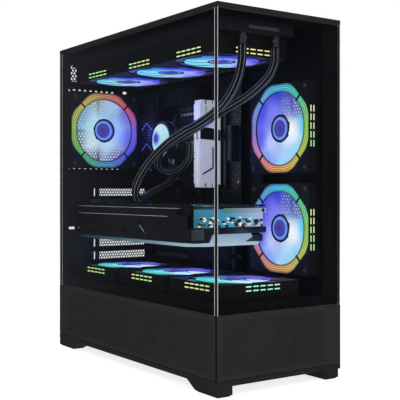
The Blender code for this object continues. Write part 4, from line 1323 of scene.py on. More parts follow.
# Levels of the blades' leading and trailing edges behind the face, and the blades' tips
BLADE_LEVELS = {"side": (-0.003, -0.005), "rear": (-0.003, -0.005), "top": (-0.0002, -0.0012),
                "bottom": (-0.0002, -0.0012)}
BLADE_TIPS = {"side": 0.0551, "rear": 0.0551, "top": 0.0484, "bottom": 0.0484}
RING_INNER = 0.0487
RING_LINES = 4
RING_LEVEL, RING_THICK = -0.0016, 0.0008
FAN_HALF = 0.06
FAN_DEEP = 0.025


def fan_matrix(where):
    """Takes fan coordinates (right, up, forward from its face) to case coordinates."""
    facing, right = FAN_WAYS[where.split("_")[0]]
    low, high = node_box(f"fan_frame_{where}")
    matrix = Matrix((right, facing.cross(right), facing)).transposed().to_4x4()
    return Matrix.Translation((low + high) / 2 + facing * FAN_DEEP / 2) @ matrix


def between(colours, share):
    """The colour at a share, 0 to 1, of the way round a closed list of screen colours."""
    place = share % 1.0 * len(colours)
    first, second = int(place) % len(colours), (int(place) + 1) % len(colours)
    part = place - int(place)
    return mixed(linear(*colours[first]), linear(*colours[second]), part)


def blend_stops(share, *colours):
    """The colour at a share, 0 to 1, of the way through evenly spaced screen colours."""
    place = min(0.9999, max(0.0, share)) * (len(colours) - 1)
    first = int(place)
    return mixed(linear(*colours[first]), linear(*colours[first + 1]), place - first)


def ring_edge(angle):
    """Outer radius of a lit ring: an octagon with eased corners."""
    turn = (angle + math.pi / 8) % (math.pi / 4) - math.pi / 8
    return min(0.0588 / math.cos(turn), 0.0612)


class Glow:
    """The lit colours of one fan, at points in case coordinates."""

    def __init__(self, where):
        self.kind = where.split("_")[0]
        self.back = fan_matrix(where).inverted()

    def halo(self, point):
        """The ring: fine bright lines that follow its outline, over a softer glow strongest midway."""
        u, v, _ = self.back @ point
        turn = math.atan2(u, v)
        near = (math.hypot(u, v) - RING_INNER) / (ring_edge(turn) - RING_INNER)
        lines = 0.5 + 0.5 * math.cos(near * math.tau * RING_LINES)
        soft = 0.35 + 0.65 * math.sin(min(1.0, max(0.0, near)) * math.pi)
        power = soft * (0.28 + 0.95 * lines) * RING_POWER[self.kind]
        red, green, blue = between(RING_COLOURS[self.kind], turn / math.tau)
        white = 0.1 * lines * soft * RING_POWER[self.kind]
        return red * power + white, green * power + white, blue * power + white, 1.0

    def disc(self, point):
        u, v, _ = self.back @ point
        u, v = u / BLADE_TIPS[self.kind], v / BLADE_TIPS[self.kind]
        lit, total = [0.0] * 4, 0.0
        for spot_u, spot_v, colour, opacity in DISC_SPOTS[self.kind]:
            weight = 1 / ((u - spot_u) ** 2 + (v - spot_v) ** 2 + 0.03) ** 2
            total += weight
            for i, value in enumerate((*linear(*colour), opacity)):
                lit[i] += value * weight
        return tuple(value / total for value in lit)

    def lens(self, point):
        """The hub's cap: fine lit arcs round a darker middle."""
        u, v, _ = self.back @ point
        radius = math.hypot(u + 0.0015, v) / 0.016
        bands = 0.55 + 0.45 * math.cos(radius * math.tau * 2.6)
        edge = max(0.0, 1 - abs(radius - 0.85) * 6)
        violet, cyan = linear(95, 85, 225), linear(120, 200, 245)
        power = 0.35 + 0.5 * bands * radius
        return (*(a * power + b * edge * 0.6 for a, b in zip(violet, cyan)), 1.0)


def ring_sheet(bm):
    """The lit ring as one thin closed sheet in fan coordinates."""
    around, across, inner = 96, RING_LINES * 4, RING_INNER
    layers = []
    for height in (RING_LEVEL, RING_LEVEL - RING_THICK):
        layers.append([[
            bm.verts.new((math.cos(a) * r, math.sin(a) * r, height))
            for r in (inner + (ring_edge(a) - inner) * j / across for j in range(across + 1))
        ] for a in (math.tau * i / around for i in range(around))])
    for i in range(around):
        k = (i + 1) % around
        for j in range(across):
            for layer in layers:
                bm.faces.new((layer[i][j], layer[i][j + 1], layer[k][j + 1], layer[k][j]))
        for j in (0, across):
            bm.faces.new((layers[0][i][j], layers[0][k][j], layers[1][k][j], layers[1][i][j]))
    bmesh.ops.recalc_face_normals(bm, faces=bm.faces[:])


def blade_maker(count, inner, outer, front, back, sweep, thick, fill, fold=1.3):
    """Draws broad swept blades from leading edges at the front level to trailing edges at the back level."""
    steps = 10

    def make(bm):
        for blade in range(count):
            grid = []
            for i in range(steps + 1):
                share = i / steps
                radius = inner + (outer - inner) * share
                lean = math.tau * blade / count + sweep * share * share
                span = math.tau / count * fill
                grid.append([
                    bm.verts.new((
                        radius * math.cos(lean + (j / steps - 0.5) * span),
                        radius * math.sin(lean + (j / steps - 0.5) * span),
                        front + (back - front) * (j / steps) ** fold,
                    )) for j in range(steps + 1)
                ])
            faces = [
                bm.faces.new((grid[i][j], grid[i + 1][j], grid[i + 1][j + 1], grid[i][j + 1]))
                for i in range(steps) for j in range(steps)
            ]
            bmesh.ops.solidify(bm, geom=faces, thickness=thick)
        bmesh.ops.recalc_face_normals(bm, faces=bm.faces[:])

    return make


class TOWER_OT_fans(Operator):
    """Builds the nine case fans: frames with lit rings and dashes, and frosted rotors"""

    bl_idname = "tower.fans"
    bl_label = "Case fans"

    def execute(self, context):
        for where in FANS:
            self.make_frame(context.scene.tower_fans, where)
            self.make_rotor(context.scene.tower_fans, where)
        return {"FINISHED"}

    @staticmethod
    def make_frame(settings, where):
        place, glow = fan_matrix(where), Glow(where)
        half, black = FAN_HALF, FINISH.fan_frame
        square = oblong(-half, -half, half, half, 0.004)
        shape = Shape()
        shape.plate([square, circle(0, 0, 0.0577, 64)], "XY", -FAN_DEEP, -0.003, black, 0.0004, place)
        opening = [(ring_edge(a) * math.cos(a), ring_edge(a) * math.sin(a)) for a in
                   (math.tau * i / 96 for i in range(96))]
        shape.plate([square, opening], "XY", -0.0031, 0.0, black, 0.0003, place)
        shape.build(ring_sheet, FINISH.fan_light, place, glow.halo)

        divider = Shape().box((-0.0072, -0.0011, -0.0026), (0.0062, 0.0011, -0.0001), black, 0.0004)
        shape.take(grow("ring", divider, black, count=4, radius=0.0555, start=math.pi / 4), black, place)
        lip = Shape().turned(((0.0485, -0.0012), (0.0489, -0.0012), (0.0489, -0.0028), (0.0485, -0.0028),
                              (0.0485, -0.0012)), black, sides=96)
        shape.take(grow("places", lip, black, [(0, 0, 0)]), black, place)

        strut = Shape().box((-0.019, -0.0022, 0), (0.019, 0.0022, 0.0024), black, 0.0005)
        mesh = grow("ring", strut, black, count=4, radius=0.0393, start=0.0)
        shape.take(mesh, black, place @ Matrix.Translation((0, 0, -FAN_DEEP + 0.0002)))
        shape.turned(((0, 0), (0.02, 0), (0.0205, 0.0005), (0.0205, 0.0024), (0, 0.0024)), black,
                     place @ Matrix.Translation((0, 0, -FAN_DEEP + 0.0002)))
        corners = [(u, v, 0) for u in (-SCREW_REACH, SCREW_REACH) for v in (-SCREW_REACH, SCREW_REACH)]
        mesh = grow("places", screw_unit(0.003, 0.0013), FINISH.grey_plastic, corners)
        shape.take(mesh, FINISH.grey_plastic, place @ Matrix.Translation((0, 0, -0.0004)))
        for side, offset, first, last in DASHES[where]:
            dash_rows(shape, settings, place, side, offset, linear(*first), linear(*last))
        shape.done(f"fan_{where}_housing", "root", [f"fan_frame_{where}"], "fan_plastic")

    @staticmethod
    def make_rotor(settings, where):
        place, glow = fan_matrix(where), Glow(where)
        shape = Shape()
        kind = where.split("_")[0]
        front, back = BLADE_LEVELS[kind]
        maker = blade_maker(settings.blades, 0.0185, BLADE_TIPS[kind], front, back, -0.5, 0.0006, 1.1, 3.0)
        shape.build(maker, FINISH.fan_blade, place, glow.disc, smooth=True)
        rim = 0.0006 if kind in ("side", "rear") else 0.0
        shape.turned(((0.016, front - 0.0006), (0.0166, front + rim), (0.0186, front + rim - 0.0002),
                      (0.0192, front - 0.0015), (0.0192, -0.021), (0.017, -0.0215), (0, -0.0215)),
                     FINISH.fan_frame, place)
        rings = [(0.016 * i / 14, front - 0.0006 + 0.0005 * (1 - (i / 14) ** 2)) for i in range(15)]
        shape.turned(rings + [(0.016, front - 0.0016), (0, front - 0.0016)], FINISH.fan_blade, place, 48,
                     glow.lens)
        shape.done(f"fan_{where}_blades", f"fan_rotor_{where}", [f"fan_rotor_{where}"], "fan_blade")


def dash_rows(shape, settings, place, side, offset, first, last):
    """Two rows of lit dashes on one side of a fan's frame, near its face."""
    across = {"right": Vector((1, 0, 0)), "up": Vector((0, 1, 0))}[side.lstrip("-")]
    outward = -across if side.startswith("-") else across
    along = Vector((0, 0, 1)).cross(outward)
    if abs(along.y) > 0.5 and along.y < 0 or abs(along.x) > 0.5 and along.x < 0:
        along = -along
    count = 5
    pitch = settings.dash_row / count
    first, last = (tuple(c + (1 - c) * 0.3 for c in colour) for colour in (first, last))
    for level in (-0.0035, -0.0085):
        size = [0.0004, pitch * 0.72, 0.0015]
        if abs(along.x) > 0.5:
            size[:2] = size[1::-1]
        start = outward * (FAN_HALF + 0.00005) + along * (offset - pitch * (count - 1) / 2)
        start.z = level
        mesh = grow("places", block_unit(size), FINISH.dash_light,
                    [start + along * pitch * i for i in range(count)])
        back = place.inverted()

        def glow(point):
            share = ((back @ point).dot(along) - offset) / settings.dash_row + 0.5
            return (*mixed(first, last, share), 1.0)

        shape.take(mesh, FINISH.dash_light, place, glow)


# ---------------------------------------------------------------- cooling


class TOWER_OT_radiator(Operator):
    """Builds the radiator's core, fins, end tanks and hose fittings"""

    bl_idname = "tower.radiator"
    bl_label = "Radiator"

    def execute(self, context):
        low, high = RADIATOR_LOW, RADIATOR_HIGH
        shape = Shape()
        for x0, x1 in ((low.x, low.x + 0.0016), (high.x - 0.0016, high.x)):
            shape.box((x0, low.y, low.z), (x1, high.y, high.z), FINISH.radiator, 0.0004)
        pitch = context.scene.tower_cooling.fin_pitch
        count = int((high.y - low.y) / pitch)
        fin = block_unit((high.x - low.x - 0.0034, 0.0006, 0.019))
        middle = (low + high) / 2
        row_of(shape, fin, FINISH.fins, (middle.x, low.y + pitch / 2, middle.z), (0, pitch, 0), count)
        tubes = 11
        gap = (high.x - low.x - 0.0034) / tubes
        tube = block_unit((0.0022, high.y - low.y - 0.001, 0.0205), 0.0005)
        row_of(shape, tube, FINISH.radiator, (low.x + 0.0017 + gap / 2, middle.y, middle.z), (gap, 0, 0),
               tubes)
        for y0, y1 in ((0.0112, 0.0275), (0.3885, 0.405)):
            shape.box((0.0132, y0, low.z + 0.0008), (0.1288, y1, high.z - 0.0008), FINISH.radiator, 0.003)
        # A light grey strip on the front tank: a painted highlight.
        shape.box((0.055, 0.0106, 0.4385), (0.1025, 0.0116, 0.4425), FINISH.grey_plastic, 0.0003)
        for hose in (OUTER_HOSE, INNER_HOSE):
            x, y, z = hose[0]
            profile = ((0.0048, 0.0), (0.0053, 0.0004), (0.0053, 0.0075), (0.0059, 0.008), (0.0059, 0.011),
                       (0.0048, 0.0115), (0.0048, 0.016))
            shape.turned(((0, 0), *profile, (0, 0.016)), FINISH.nickel,
                         Matrix.Translation((x, y, z + 0.0006)), 32)
        shape.done("radiator_block", "root", ["radiator"], "radiator_metal")
        return {"FINISHED"}


class TOWER_OT_pump(Operator):
    """Builds the pump head on the processor, with its lit cap, bracket and hose fittings"""

    bl_idname = "tower.pump"
    bl_label = "Pump head"

    def execute(self, context):
        y, z = PUMP_MIDDLE
        face = Matrix.Translation((0.11, y, z)) @ Matrix(((0, 0, -1), (-1, 0, 0), (0, 1, 0))).to_4x4()
        shape = Shape()
        shape.turned(((0.0245, -0.001), (0.0275, 0.0), (0.029, -0.0015), (0.029, -0.049), (0, -0.049)),
                     FINISH.connector, face, 64)

        def glow(point):
            right, up = -(point.y - y) / 0.029, (point.z - z) / 0.029
            radius = math.hypot(right, up)
            blue = max(0.0, 1 - math.hypot(right + 0.42, up - 0.1) * 2.1)
            pale = max(0.0, min(1.0, 0.55 - right * 0.2 + up * 0.35))
            light = mixed(linear(110, 215, 235), linear(225, 245, 252), pale)
            dim = 1.0 if radius < 0.84 else 0.35
            return (*(c * dim for c in mixed(light, linear(25, 50, 190), min(1.0, blue * 1.6))), 1.0)

        rings = [(0.0245 * i / 24, -0.001 + 0.0014 * math.sqrt(1 - (i / 24) ** 2)) for i in range(25)]
        shape.turned(rings + [(0.0245, -0.004), (0, -0.004)], FINISH.pump_cap, face, 64, glow)
        shape.turned(((0.0288, -0.0115), (0.0293, -0.012), (0.0293, -0.0128), (0.0288, -0.0135),
                      (0.0288, -0.0115)),
                     FINISH.nickel, face, 64)
        for step in (0.02, 0.028, 0.036):
            shape.turned(((0.0286, -step), (0.0292, -step - 0.0006), (0.0286, -step - 0.0012),
                          (0.0286, -step)),
                         FINISH.connector, face, 64)
        bracket = [oblong(y - 0.037, z - 0.037, y + 0.037, z + 0.037, 0.008), circle(y, z, 0.0285)]
        shape.plate(bracket, "YZ", 0.1602, 0.1622, FINISH.sink, 0.0003)
        for u in (-0.031, 0.031):
            for v in (-0.031, 0.031):
                shape.drum((0.16, y + u, z + v), 0.0042, 0.012, "X", FINISH.nickel, 20, edge=0.0008)
                shape.drum((0.1642, y + u, z + v), 0.002, 0.006, "X", FINISH.solder, 12)
        outer, inner = Vector(OUTER_HOSE[-1]), Vector(INNER_HOSE[-1])
        shape.drum(outer + Vector((0, 0, 0.0076)), 0.0062, 0.015, "Z", FINISH.nickel, 32, edge=0.0008)
        shape.box((0.1221, 0.2391, 0.3131), (0.1349, 0.2725, 0.3259), FINISH.connector, 0.0025)
        shape.drum(inner + Vector((0, 0, 0.0015)), 0.006, 0.0024, "Z", FINISH.nickel, 32)
        shape.done("pump_unit", "root", ["pump_head"], "pump_shell")
        return {"FINISHED"}


# ---------------------------------------------------------------- boards


class TOWER_OT_board(Operator):
    """Builds the main board with its sockets, slots, chokes, capacitors, covers and rear ports"""

    bl_idname = "tower.board"
    bl_label = "Main board"

    def execute(self, context):
        face = BOARD_FACE
        shape = Shape()
        shape.plate([oblong(0.173, 0.108, 0.417, 0.413, 0.002)], "YZ", face, face + 0.0016, FINISH.board)
        self.add_slots(shape, face)
        self.add_power_parts(shape, face)
        self.add_covers(shape, face)
        self.add_ports(shape)
        shape.done("main_board", "root", ["motherboard"], "board_laminate")
        return {"FINISHED"}

    @staticmethod
    def add_slots(shape, face):
        for y in (0.218, 0.2275, 0.205, 0.237):
            under_memory = y in (0.218, 0.2275)
            front = face - 0.0002 - (0.0 if under_memory else 0.0055)
            shape.box((front, y - 0.0029, 0.244), (face + 0.0004, y + 0.0029, 0.379), FINISH.connector,
                      0.0004)
        for z in (0.213, 0.14):
            shape.box((face - 0.0105 if z < 0.2 else face - 0.0003, 0.3, z - 0.0038),
                      (face + 0.0004, 0.389, z + 0.0038), FINISH.grey_plastic, 0.0005)
        shape.box((face - 0.012, 0.179, 0.285), (face + 0.0004, 0.189, 0.337), FINISH.connector, 0.0006)
        pin = block_unit((0.005, 0.0034, 0.0034), 0.0004)
        for y in (0.1817, 0.1863):
            row_of(shape, pin, FINISH.grey_plastic, (face - 0.011, y, 0.288), (0, 0, 0.0042), 12)
        shape.box((face - 0.011, 0.375, 0.4035), (face + 0.0004, 0.392, 0.412), FINISH.connector, 0.0006)
        for z in (0.128, 0.15, 0.172):
            shape.box((face - 0.01, 0.176, z), (face + 0.0004, 0.184, z + 0.016), FINISH.connector, 0.0005)

    @staticmethod
    def add_power_parts(shape, face):
        choke = block_unit((0.006, 0.0072, 0.0072), 0.001)
        row_of(shape, choke, FINISH.grey_plastic, (face - 0.003, 0.3415, 0.261), (0, 0, 0.0098), 11)
        choke = block_unit((0.006, 0.0072, 0.0072), 0.001)
        row_of(shape, choke, FINISH.grey_plastic, (face - 0.003, 0.257, 0.37), (0, 0.0098, 0), 8)
        can = Shape().turned(((0, 0), (0.003, 0), (0.0031, 0.0006), (0.0031, 0.0068), (0.0027, 0.0074),
                              (0, 0.0074)),
                             FINISH.solder, sides=16)
        turn = Matrix.Rotation(-math.pi / 2, 4, "Y")
        mesh = grow("places", can, FINISH.solder, [(z, y, 0) for y, z in (
            [(0.333, 0.262 + 0.0085 * i) for i in range(5)] + [(0.266 + 0.0085 * i, 0.3615) for i in range(7)]
            + [(0.246, 0.15), (0.246, 0.16), (0.193, 0.198), (0.193, 0.208), (0.35, 0.118)])])
        shape.take(mesh, FINISH.solder, Matrix.Translation((face, 0, 0)) @ turn, smooth=True)
        seeded = random.Random(7)
        small = [(face - 0.0006, seeded.uniform(0.18, 0.41), seeded.uniform(0.114, 0.4)) for _ in range(260)]
        shape.take(grow("places", block_unit((0.0012, 0.0016, 0.0009)), FINISH.solder, small), FINISH.solder)
        big = [(face - 0.0006, seeded.uniform(0.185, 0.405), seeded.uniform(0.116, 0.24)) for _ in range(34)]
        shape.take(grow("places", block_unit((0.0014, 0.0058, 0.0042)), FINISH.connector, big),
                   FINISH.connector)

    @staticmethod
    def add_covers(shape, face):
        chipset = [(0.19, 0.118), (0.24, 0.118), (0.25, 0.13), (0.25, 0.16), (0.238, 0.172), (0.19, 0.172)]
        shape.plate([chipset], "YZ", face - 0.008, face - 0.001, FINISH.sink, 0.0006)
        for i in range(4):
            z = 0.126 + 0.01 * i
            shape.box((face - 0.0092, 0.196, z), (face - 0.0078, 0.242 - 0.004 * i, z + 0.0022),
                      FINISH.card_metal, 0.0004)
        shape.box((face - 0.006, 0.262, 0.233), (face - 0.001, 0.345, 0.25), FINISH.sink, 0.0008)
        for y in (0.27, 0.33):
            shape.box((face - 0.0066, y, 0.235), (face - 0.0056, y + 0.002, 0.248), FINISH.nickel)
        screws(shape, [(y, z) for y in (0.178, 0.29, 0.411) for z in (0.113, 0.254, 0.408)], "YZ", face,
               0.003, 0.0014, inward=True)

    @staticmethod
    def add_ports(shape):
        """The block of sockets that shows through the rear wall's window."""
        rear = 0.4203
        shape.box((0.13, 0.3965, 0.257), (0.1675, rear - 0.004, 0.4075), FINISH.sink, 0.0008)
        shape.plate([oblong(0.13, 0.257, 0.1688, 0.4075, 0.001)], "XZ", rear - 0.0012, rear,
                    FINISH.card_metal)
        z = 0.2592
        for finish, tall, wide, count in (
            (FINISH.port_blue, 0.006, 0.014, 4), (FINISH.connector, 0.006, 0.014, 2),
            (FINISH.connector, 0.013, 0.016, 1), (FINISH.port_blue, 0.006, 0.014, 2),
            (FINISH.connector, 0.005, 0.016, 2),
        ):
            for _ in range(count):
                shape.box((0.135, rear - 0.003, z), (0.135 + wide, rear + 0.0006, z + tall), FINISH.solder,
                          0.0004)
                shape.box((0.1362, rear - 0.002, z + 0.0012), (0.1338 + wide, rear + 0.0007,
                                                               z + tall * 0.45), finish)
                # The dark upper half of each port is painted shade in its hollow.
                shape.box((0.1362, rear - 0.002, z + tall * 0.5), (0.1338 + wide, rear + 0.0007,
                                                                   z + tall - 0.0012),
                          FINISH.panel_liner)
                z += tall + 0.0032
            z += 0.0014
        for row, z in enumerate((0.379, 0.389, 0.399)):
            shape.drum((0.142, rear, z), 0.0036, 0.0016, "Y", FINISH.gold if row == 1 else FINISH.solder, 20)
            # The dark disc in each jack is painted shade in its hole.
            shape.drum((0.142, rear + 0.0003, z), 0.0019, 0.0014, "Y", FINISH.panel_liner, 16)
            shape.drum((0.156, rear, z), 0.0036, 0.0016, "Y", FINISH.solder, 20)
            shape.drum((0.156, rear + 0.0003, z), 0.0019, 0.0014, "Y", FINISH.panel_liner, 16)


class TOWER_OT_memory(Operator):
    """Builds the two memory sticks with their notched white covers"""

    bl_idname = "tower.memory"
    bl_label = "Memory"

    def execute(self, context):
        for node in ("memory_stick_front", "memory_stick_rear"):
            low, high = node_box(node)
            middle = (low.y + high.y) / 2
            shape = Shape()
            shape.box((low.x + 0.004, middle - 0.0006, low.z + 0.001), (high.x, middle + 0.0006,
                                                                        high.z - 0.001),
                      FINISH.board)
            cover = self.cover_outline(low, high)
            for y0, y1 in ((low.y, low.y + 0.0024), (high.y - 0.0024, high.y)):
                shape.plate([cover], "XZ", y0, y1, FINISH.memory, 0.0004)
            shape.box((low.x + 0.0012, low.y + 0.0012, low.z + 0.006), (low.x + 0.006, high.y - 0.0012,
                                                                        high.z - 0.006),
                      FINISH.memory, 0.0006)
            for dark_shape in self.dark_shapes(low, high):
                shape.plate([dark_shape], "XZ", low.y - 0.0001, low.y + 0.0003, FINISH.connector)
            tip = block_unit((0.0016, 0.0018, 0.0009))
            row_of(shape, tip, FINISH.gold, (high.x - 0.0012, middle, low.z + 0.008), (0, 0, 0.0016), 70)
            shape.done(f"{node}_module", "root", [node], "memory_white")
        return {"FINISHED"}

    @staticmethod
    def cover_outline(low, high):
        """A cover with teeth at its top and bottom ends and short slits in its outer edge."""
        x0, x1 = low.x, high.x - 0.006
        top = []
        for start, end in ((0.0015, 0.0085), (0.0125, 0.021), (0.024, 0.03)):
            top += [(x0 + start, high.z - 0.006), (x0 + start, high.z - 0.0008),
                    (x0 + start + 0.0008, high.z),
                    (x0 + end, high.z), (x0 + end + 0.0008, high.z - 0.006)]
        points = [(x0, high.z - 0.006)] + top + [(x1, high.z - 0.004)]
        bottom = [(u, low.z + high.z - v) for u, v in reversed(points)]
        edge = []
        for share in (0.33, 0.4, 0.56, 0.77):
            z = low.z + (high.z - low.z) * share
            edge += [(x0, z - 0.0006), (x0 + 0.0045, z - 0.0004), (x0 + 0.0045, z + 0.0004), (x0, z + 0.0006)]
        return points + bottom + edge

    @staticmethod
    def dark_shapes(low, high):
        """Dark shapes on the cover: a broad slanted band across its middle, two ribs by the teeth and an
        angled line.
        """
        x0, x1, z0 = low.x + 0.0003, high.x - 0.0065, low.z
        line = [(x0 + 0.004, z0 + 0.018), (x0 + 0.024, z0 + 0.028), (x0 + 0.024, z0 + 0.058),
                (x0 + 0.0215, z0 + 0.06),
                (x0 + 0.0215, z0 + 0.0295), (x0 + 0.004, z0 + 0.0205)]
        return [
            [(x0, z0 + 0.0705), (x1, z0 + 0.069), (x1, z0 + 0.085), (x0 + 0.012, z0 + 0.088),
             (x0, z0 + 0.086)],
            oblong(x0 + 0.0098, z0 + 0.108, x0 + 0.0108, z0 + 0.119),
            oblong(x0 + 0.0218, z0 + 0.108, x0 + 0.0228, z0 + 0.119),
            line,
        ]


class TOWER_OT_heatsinks(Operator):
    """Builds the finned heatsinks round the processor, with lit slanted lines"""

    bl_idname = "tower.heatsinks"
    bl_label = "Board heatsinks"

    def execute(self, context):
        shape = Shape()
        side = [(0.347, 0.255), (0.392, 0.255), (0.392, 0.402), (0.358, 0.402), (0.347, 0.391)]
        shape.plate([side], "YZ", 0.134, 0.1677, FINISH.sink, 0.0008)
        fin = block_unit((0.0062, 0.044, 0.0017), 0.0004)
        row_of(shape, fin, FINISH.sink, (0.1312, 0.3695, 0.26), (0, 0, 0.0042), 34)
        shape.plate([oblong(0.245, 0.3745, 0.35, 0.4018, 0.002)], "YZ", 0.145, 0.1675, FINISH.sink, 0.0006)
        row_of(shape, block_unit((0.0055, 0.0018, 0.0265), 0.0004), FINISH.sink, (0.1428, 0.248, 0.3882),
               (0, 0.005, 0), 21)

        def glow(point):
            return (*mixed(linear(40, 50, 170), linear(70, 95, 215), (point.z - 0.25) / 0.15), 1.0)

        for lean, start, end in ((0.62, -0.019, 0.0), (-0.62, 0.0, 0.019)):
            for z in (0.285, 0.318, 0.351):
                line = Matrix.Translation((0.1279, 0.3695, z)) @ Matrix.Rotation(lean, 4, "X")
                shape.box((-0.0003, start, -0.0006), (0.0006, end, 0.0006), FINISH.sink_light, 0.0, line,
                          glow)
        shape.done("heatsink_fins", "root", ["board_heatsink"], "heatsink_metal")
        return {"FINISHED"}


# ---------------------------------------------------------------- graphics card

CARD_FANS = {"front": 0.145, "middle": 0.248, "rear": 0.351}
CARD_FAN_X = 0.089


class TOWER_OT_graphics_card(Operator):
    """Builds the graphics card: shroud, lit end, fins, backplate, bracket and three fans"""

    bl_idname = "tower.graphics_card"
    bl_label = "Graphics card"

    def execute(self, context):
        self.make_body()
        self.make_backplate()
        for end, y in CARD_FANS.items():
            self.make_rotor(end, y)
        return {"FINISHED"}

    def make_body(self):
        low, high = CARD_LOW, CARD_HIGH
        shape = Shape()
        holes = [circle(CARD_FAN_X, y, 0.0462, 64) for y in CARD_FANS.values()]
        shroud = [(low.x + 0.006, low.y + 0.003), (high.x - 0.006, low.y + 0.003), (high.x, low.y + 0.022),
                  (high.x, high.y - 0.004), (low.x, high.y - 0.004), (low.x, low.y + 0.022)]
        shape.plate([shroud] + holes, "XY", low.z + 0.006, low.z + 0.016, FINISH.card, 0.001)
        self.add_lit_skirt(shape, low, high, holes)
        shape.box((low.x + 0.0008, low.y + 0.015, low.z + 0.015), (low.x + 0.004, high.y - 0.004,
                                                                   high.z - 0.01),
                  FINISH.card, 0.001)
        shape.box((low.x, low.y + 0.04, high.z - 0.0115), (low.x + 0.005, high.y - 0.004, high.z - 0.002),
                  FINISH.card, 0.0012)
        shape.box((high.x - 0.005, low.y + 0.015, low.z + 0.015), (high.x - 0.0005, high.y - 0.004,
                                                                   high.z - 0.002),
                  FINISH.card, 0.001)
        shape.plate([oblong(low.x + 0.002, low.y + 0.003, high.x - 0.001, high.y - 0.002, 0.001)], "XY",
                    high.z - 0.0022, high.z - 0.0006, FINISH.board)
        self.add_fins(shape, low, high)
        self.add_front_end(shape, low, high)
        self.add_side_lines(shape, low, high)
        self.add_bracket(shape)
        shape.done("graphics_card_shell", "root", ["graphics_card_body"], "card_plastic")

    @staticmethod
    def add_fins(shape, low, high):
        fin = block_unit((high.x - low.x - 0.012, 0.0005, 0.03))
        middle_x = (low.x + high.x) / 2
        row_of(shape, fin, FINISH.nickel, (middle_x, low.y + 0.012, low.z + 0.033), (0, 0.0028, 0), 113)
        for x in (0.05, 0.068, 0.11, 0.128):
            shape.drum((x, (low.y + high.y) / 2, low.z + 0.04), 0.003, high.y - low.y - 0.016, "Y",
                       FINISH.copper, 16)

    @staticmethod
    def add_lit_skirt(shape, low, high, holes):
        """The lower skirt, with the bottom fans' cyan light painted on it as a glow, brightest toward the
        front end.
        """
        def glow(point):
            near = max(0.0, 1 - (point.y - low.y) / 0.33)
            power = 0.08 + 0.95 * near**1.5
            return (*(c * power for c in mixed(linear(45, 135, 165), linear(185, 212, 228), near)), 1.0)

        points = [(low.x + 0.022, low.y + 0.0005), (high.x - 0.018, low.y + 0.0005),
                  (high.x - 0.002, low.y + 0.016)]
        steps = 14
        points += [(high.x - 0.002, low.y + 0.016 + (0.3 * i / steps)) for i in range(1, steps + 1)]
        points += [(low.x + 0.0005, low.y + 0.016 + (0.3 * i / steps)) for i in range(steps, -1, -1)]
        # Painted light: the skirt glows with the bottom fans' cyan light.
        shape.plate([points] + holes, "XY", low.z + 0.0018, low.z + 0.0062, FINISH.card_light, 0.0008, None,
                    glow)

    @staticmethod
    def add_front_end(shape, low, high):
        """The open end: a board edge with small parts, a pale bar, a dark band and a slanted plate. The glow
        on the board edge, the small parts, the bar and the plate is painted light.
        """
        def lit(point):
            share = (point.x - low.x) / (high.x - low.x)
            return (*(c * 0.95 for c in blend_stops(share, (30, 120, 145), (60, 165, 205), (190, 218, 252))),
                    1.0)

        y = low.y
        shape.plate([oblong(low.x + 0.006, low.z + 0.025, high.x - 0.004, high.z - 0.003, 0.0)], "XZ",
                    y + 0.006,
                    y + 0.008, FINISH.card)
        steps = 24
        wide = (high.x - low.x - 0.01) / steps
        cell_unit = block_unit((wide, 0.0006, high.z - low.z - 0.028))
        # The board edge glows: painted light.
        row_of(shape, cell_unit, FINISH.card_light, (low.x + 0.006 + wide / 2, y + 0.0057,
                                                     (low.z + high.z + 0.022) / 2),
               (wide, 0, 0), steps, lit)
        seeded = random.Random(11)
        for finish, size, count in ((FINISH.spark, (0.0034, 0.0022, 0.0018), 30),
                                    (FINISH.gold, (0.0042, 0.0024, 0.0022), 18),
                                    (FINISH.connector, (0.0036, 0.0026, 0.003), 34)):
            spots = [(seeded.uniform(low.x + 0.01, high.x - 0.008), y + seeded.uniform(0.0008, 0.0026),
                      low.z + 0.0275 + 0.0115 * seeded.random() ** 1.3) for _ in range(count)]
            shape.take(grow("places", block_unit(size, 0.0003), finish, spots), finish)

        def bar_glow(point):
            share = (point.x - 0.079) / (high.x - 0.079)
            return (*(c * 0.8 for c in blend_stops(share, (85, 140, 135), (150, 190, 215), (205, 212, 240))),
                    1.0)

        # The pale bar glows: painted light.
        shape.box((0.079, y + 0.0003, high.z - 0.0078), (high.x - 0.002, y + 0.004, high.z - 0.0015),
                  FINISH.card_light, 0.0006, None, bar_glow)
        screws(shape, [(0.143, high.z - 0.0046)], "XZ", y + 0.0003, 0.0026, 0.0014, FINISH.connector)
        shape.box((low.x + 0.0005, y + 0.0012, low.z + 0.0175), (high.x - 0.0005, y + 0.015, low.z + 0.0262),
                  FINISH.card, 0.0015)
        cheek = [(low.x, low.z + 0.007), (low.x + 0.026, low.z + 0.006), (low.x + 0.033, low.z + 0.018),
                 (low.x + 0.033, low.z + 0.024), (low.x, low.z + 0.024)]
        shape.plate([cheek], "XZ", y + 0.0026, y + 0.011, FINISH.card, 0.0008)
        shape.box((low.x + 0.0005, y + 0.001, low.z + 0.0098), (low.x + 0.0195, y + 0.013, low.z + 0.0252),
                  FINISH.grey_plastic, 0.0016)

        def pale(point):
            return (*mixed(linear(190, 215, 232), linear(150, 180, 205), (point.z - low.z) / 0.018), 1.0)

        plate = [(low.x + 0.0327, low.z + 0.0172), (low.x + 0.027, low.z + 0.006),
                 (low.x + 0.064, low.z + 0.0045),
                 (low.x + 0.07, low.z + 0.006), (low.x + 0.0817, low.z + 0.0052),
                 (low.x + 0.0975, low.z + 0.013),
                 (low.x + 0.0945, low.z + 0.0176)]
        # The slanted plate glows pale: painted light.
        shape.plate([plate], "XZ", y + 0.0002, y + 0.0016, FINISH.card_light, 0.0004, None, pale)

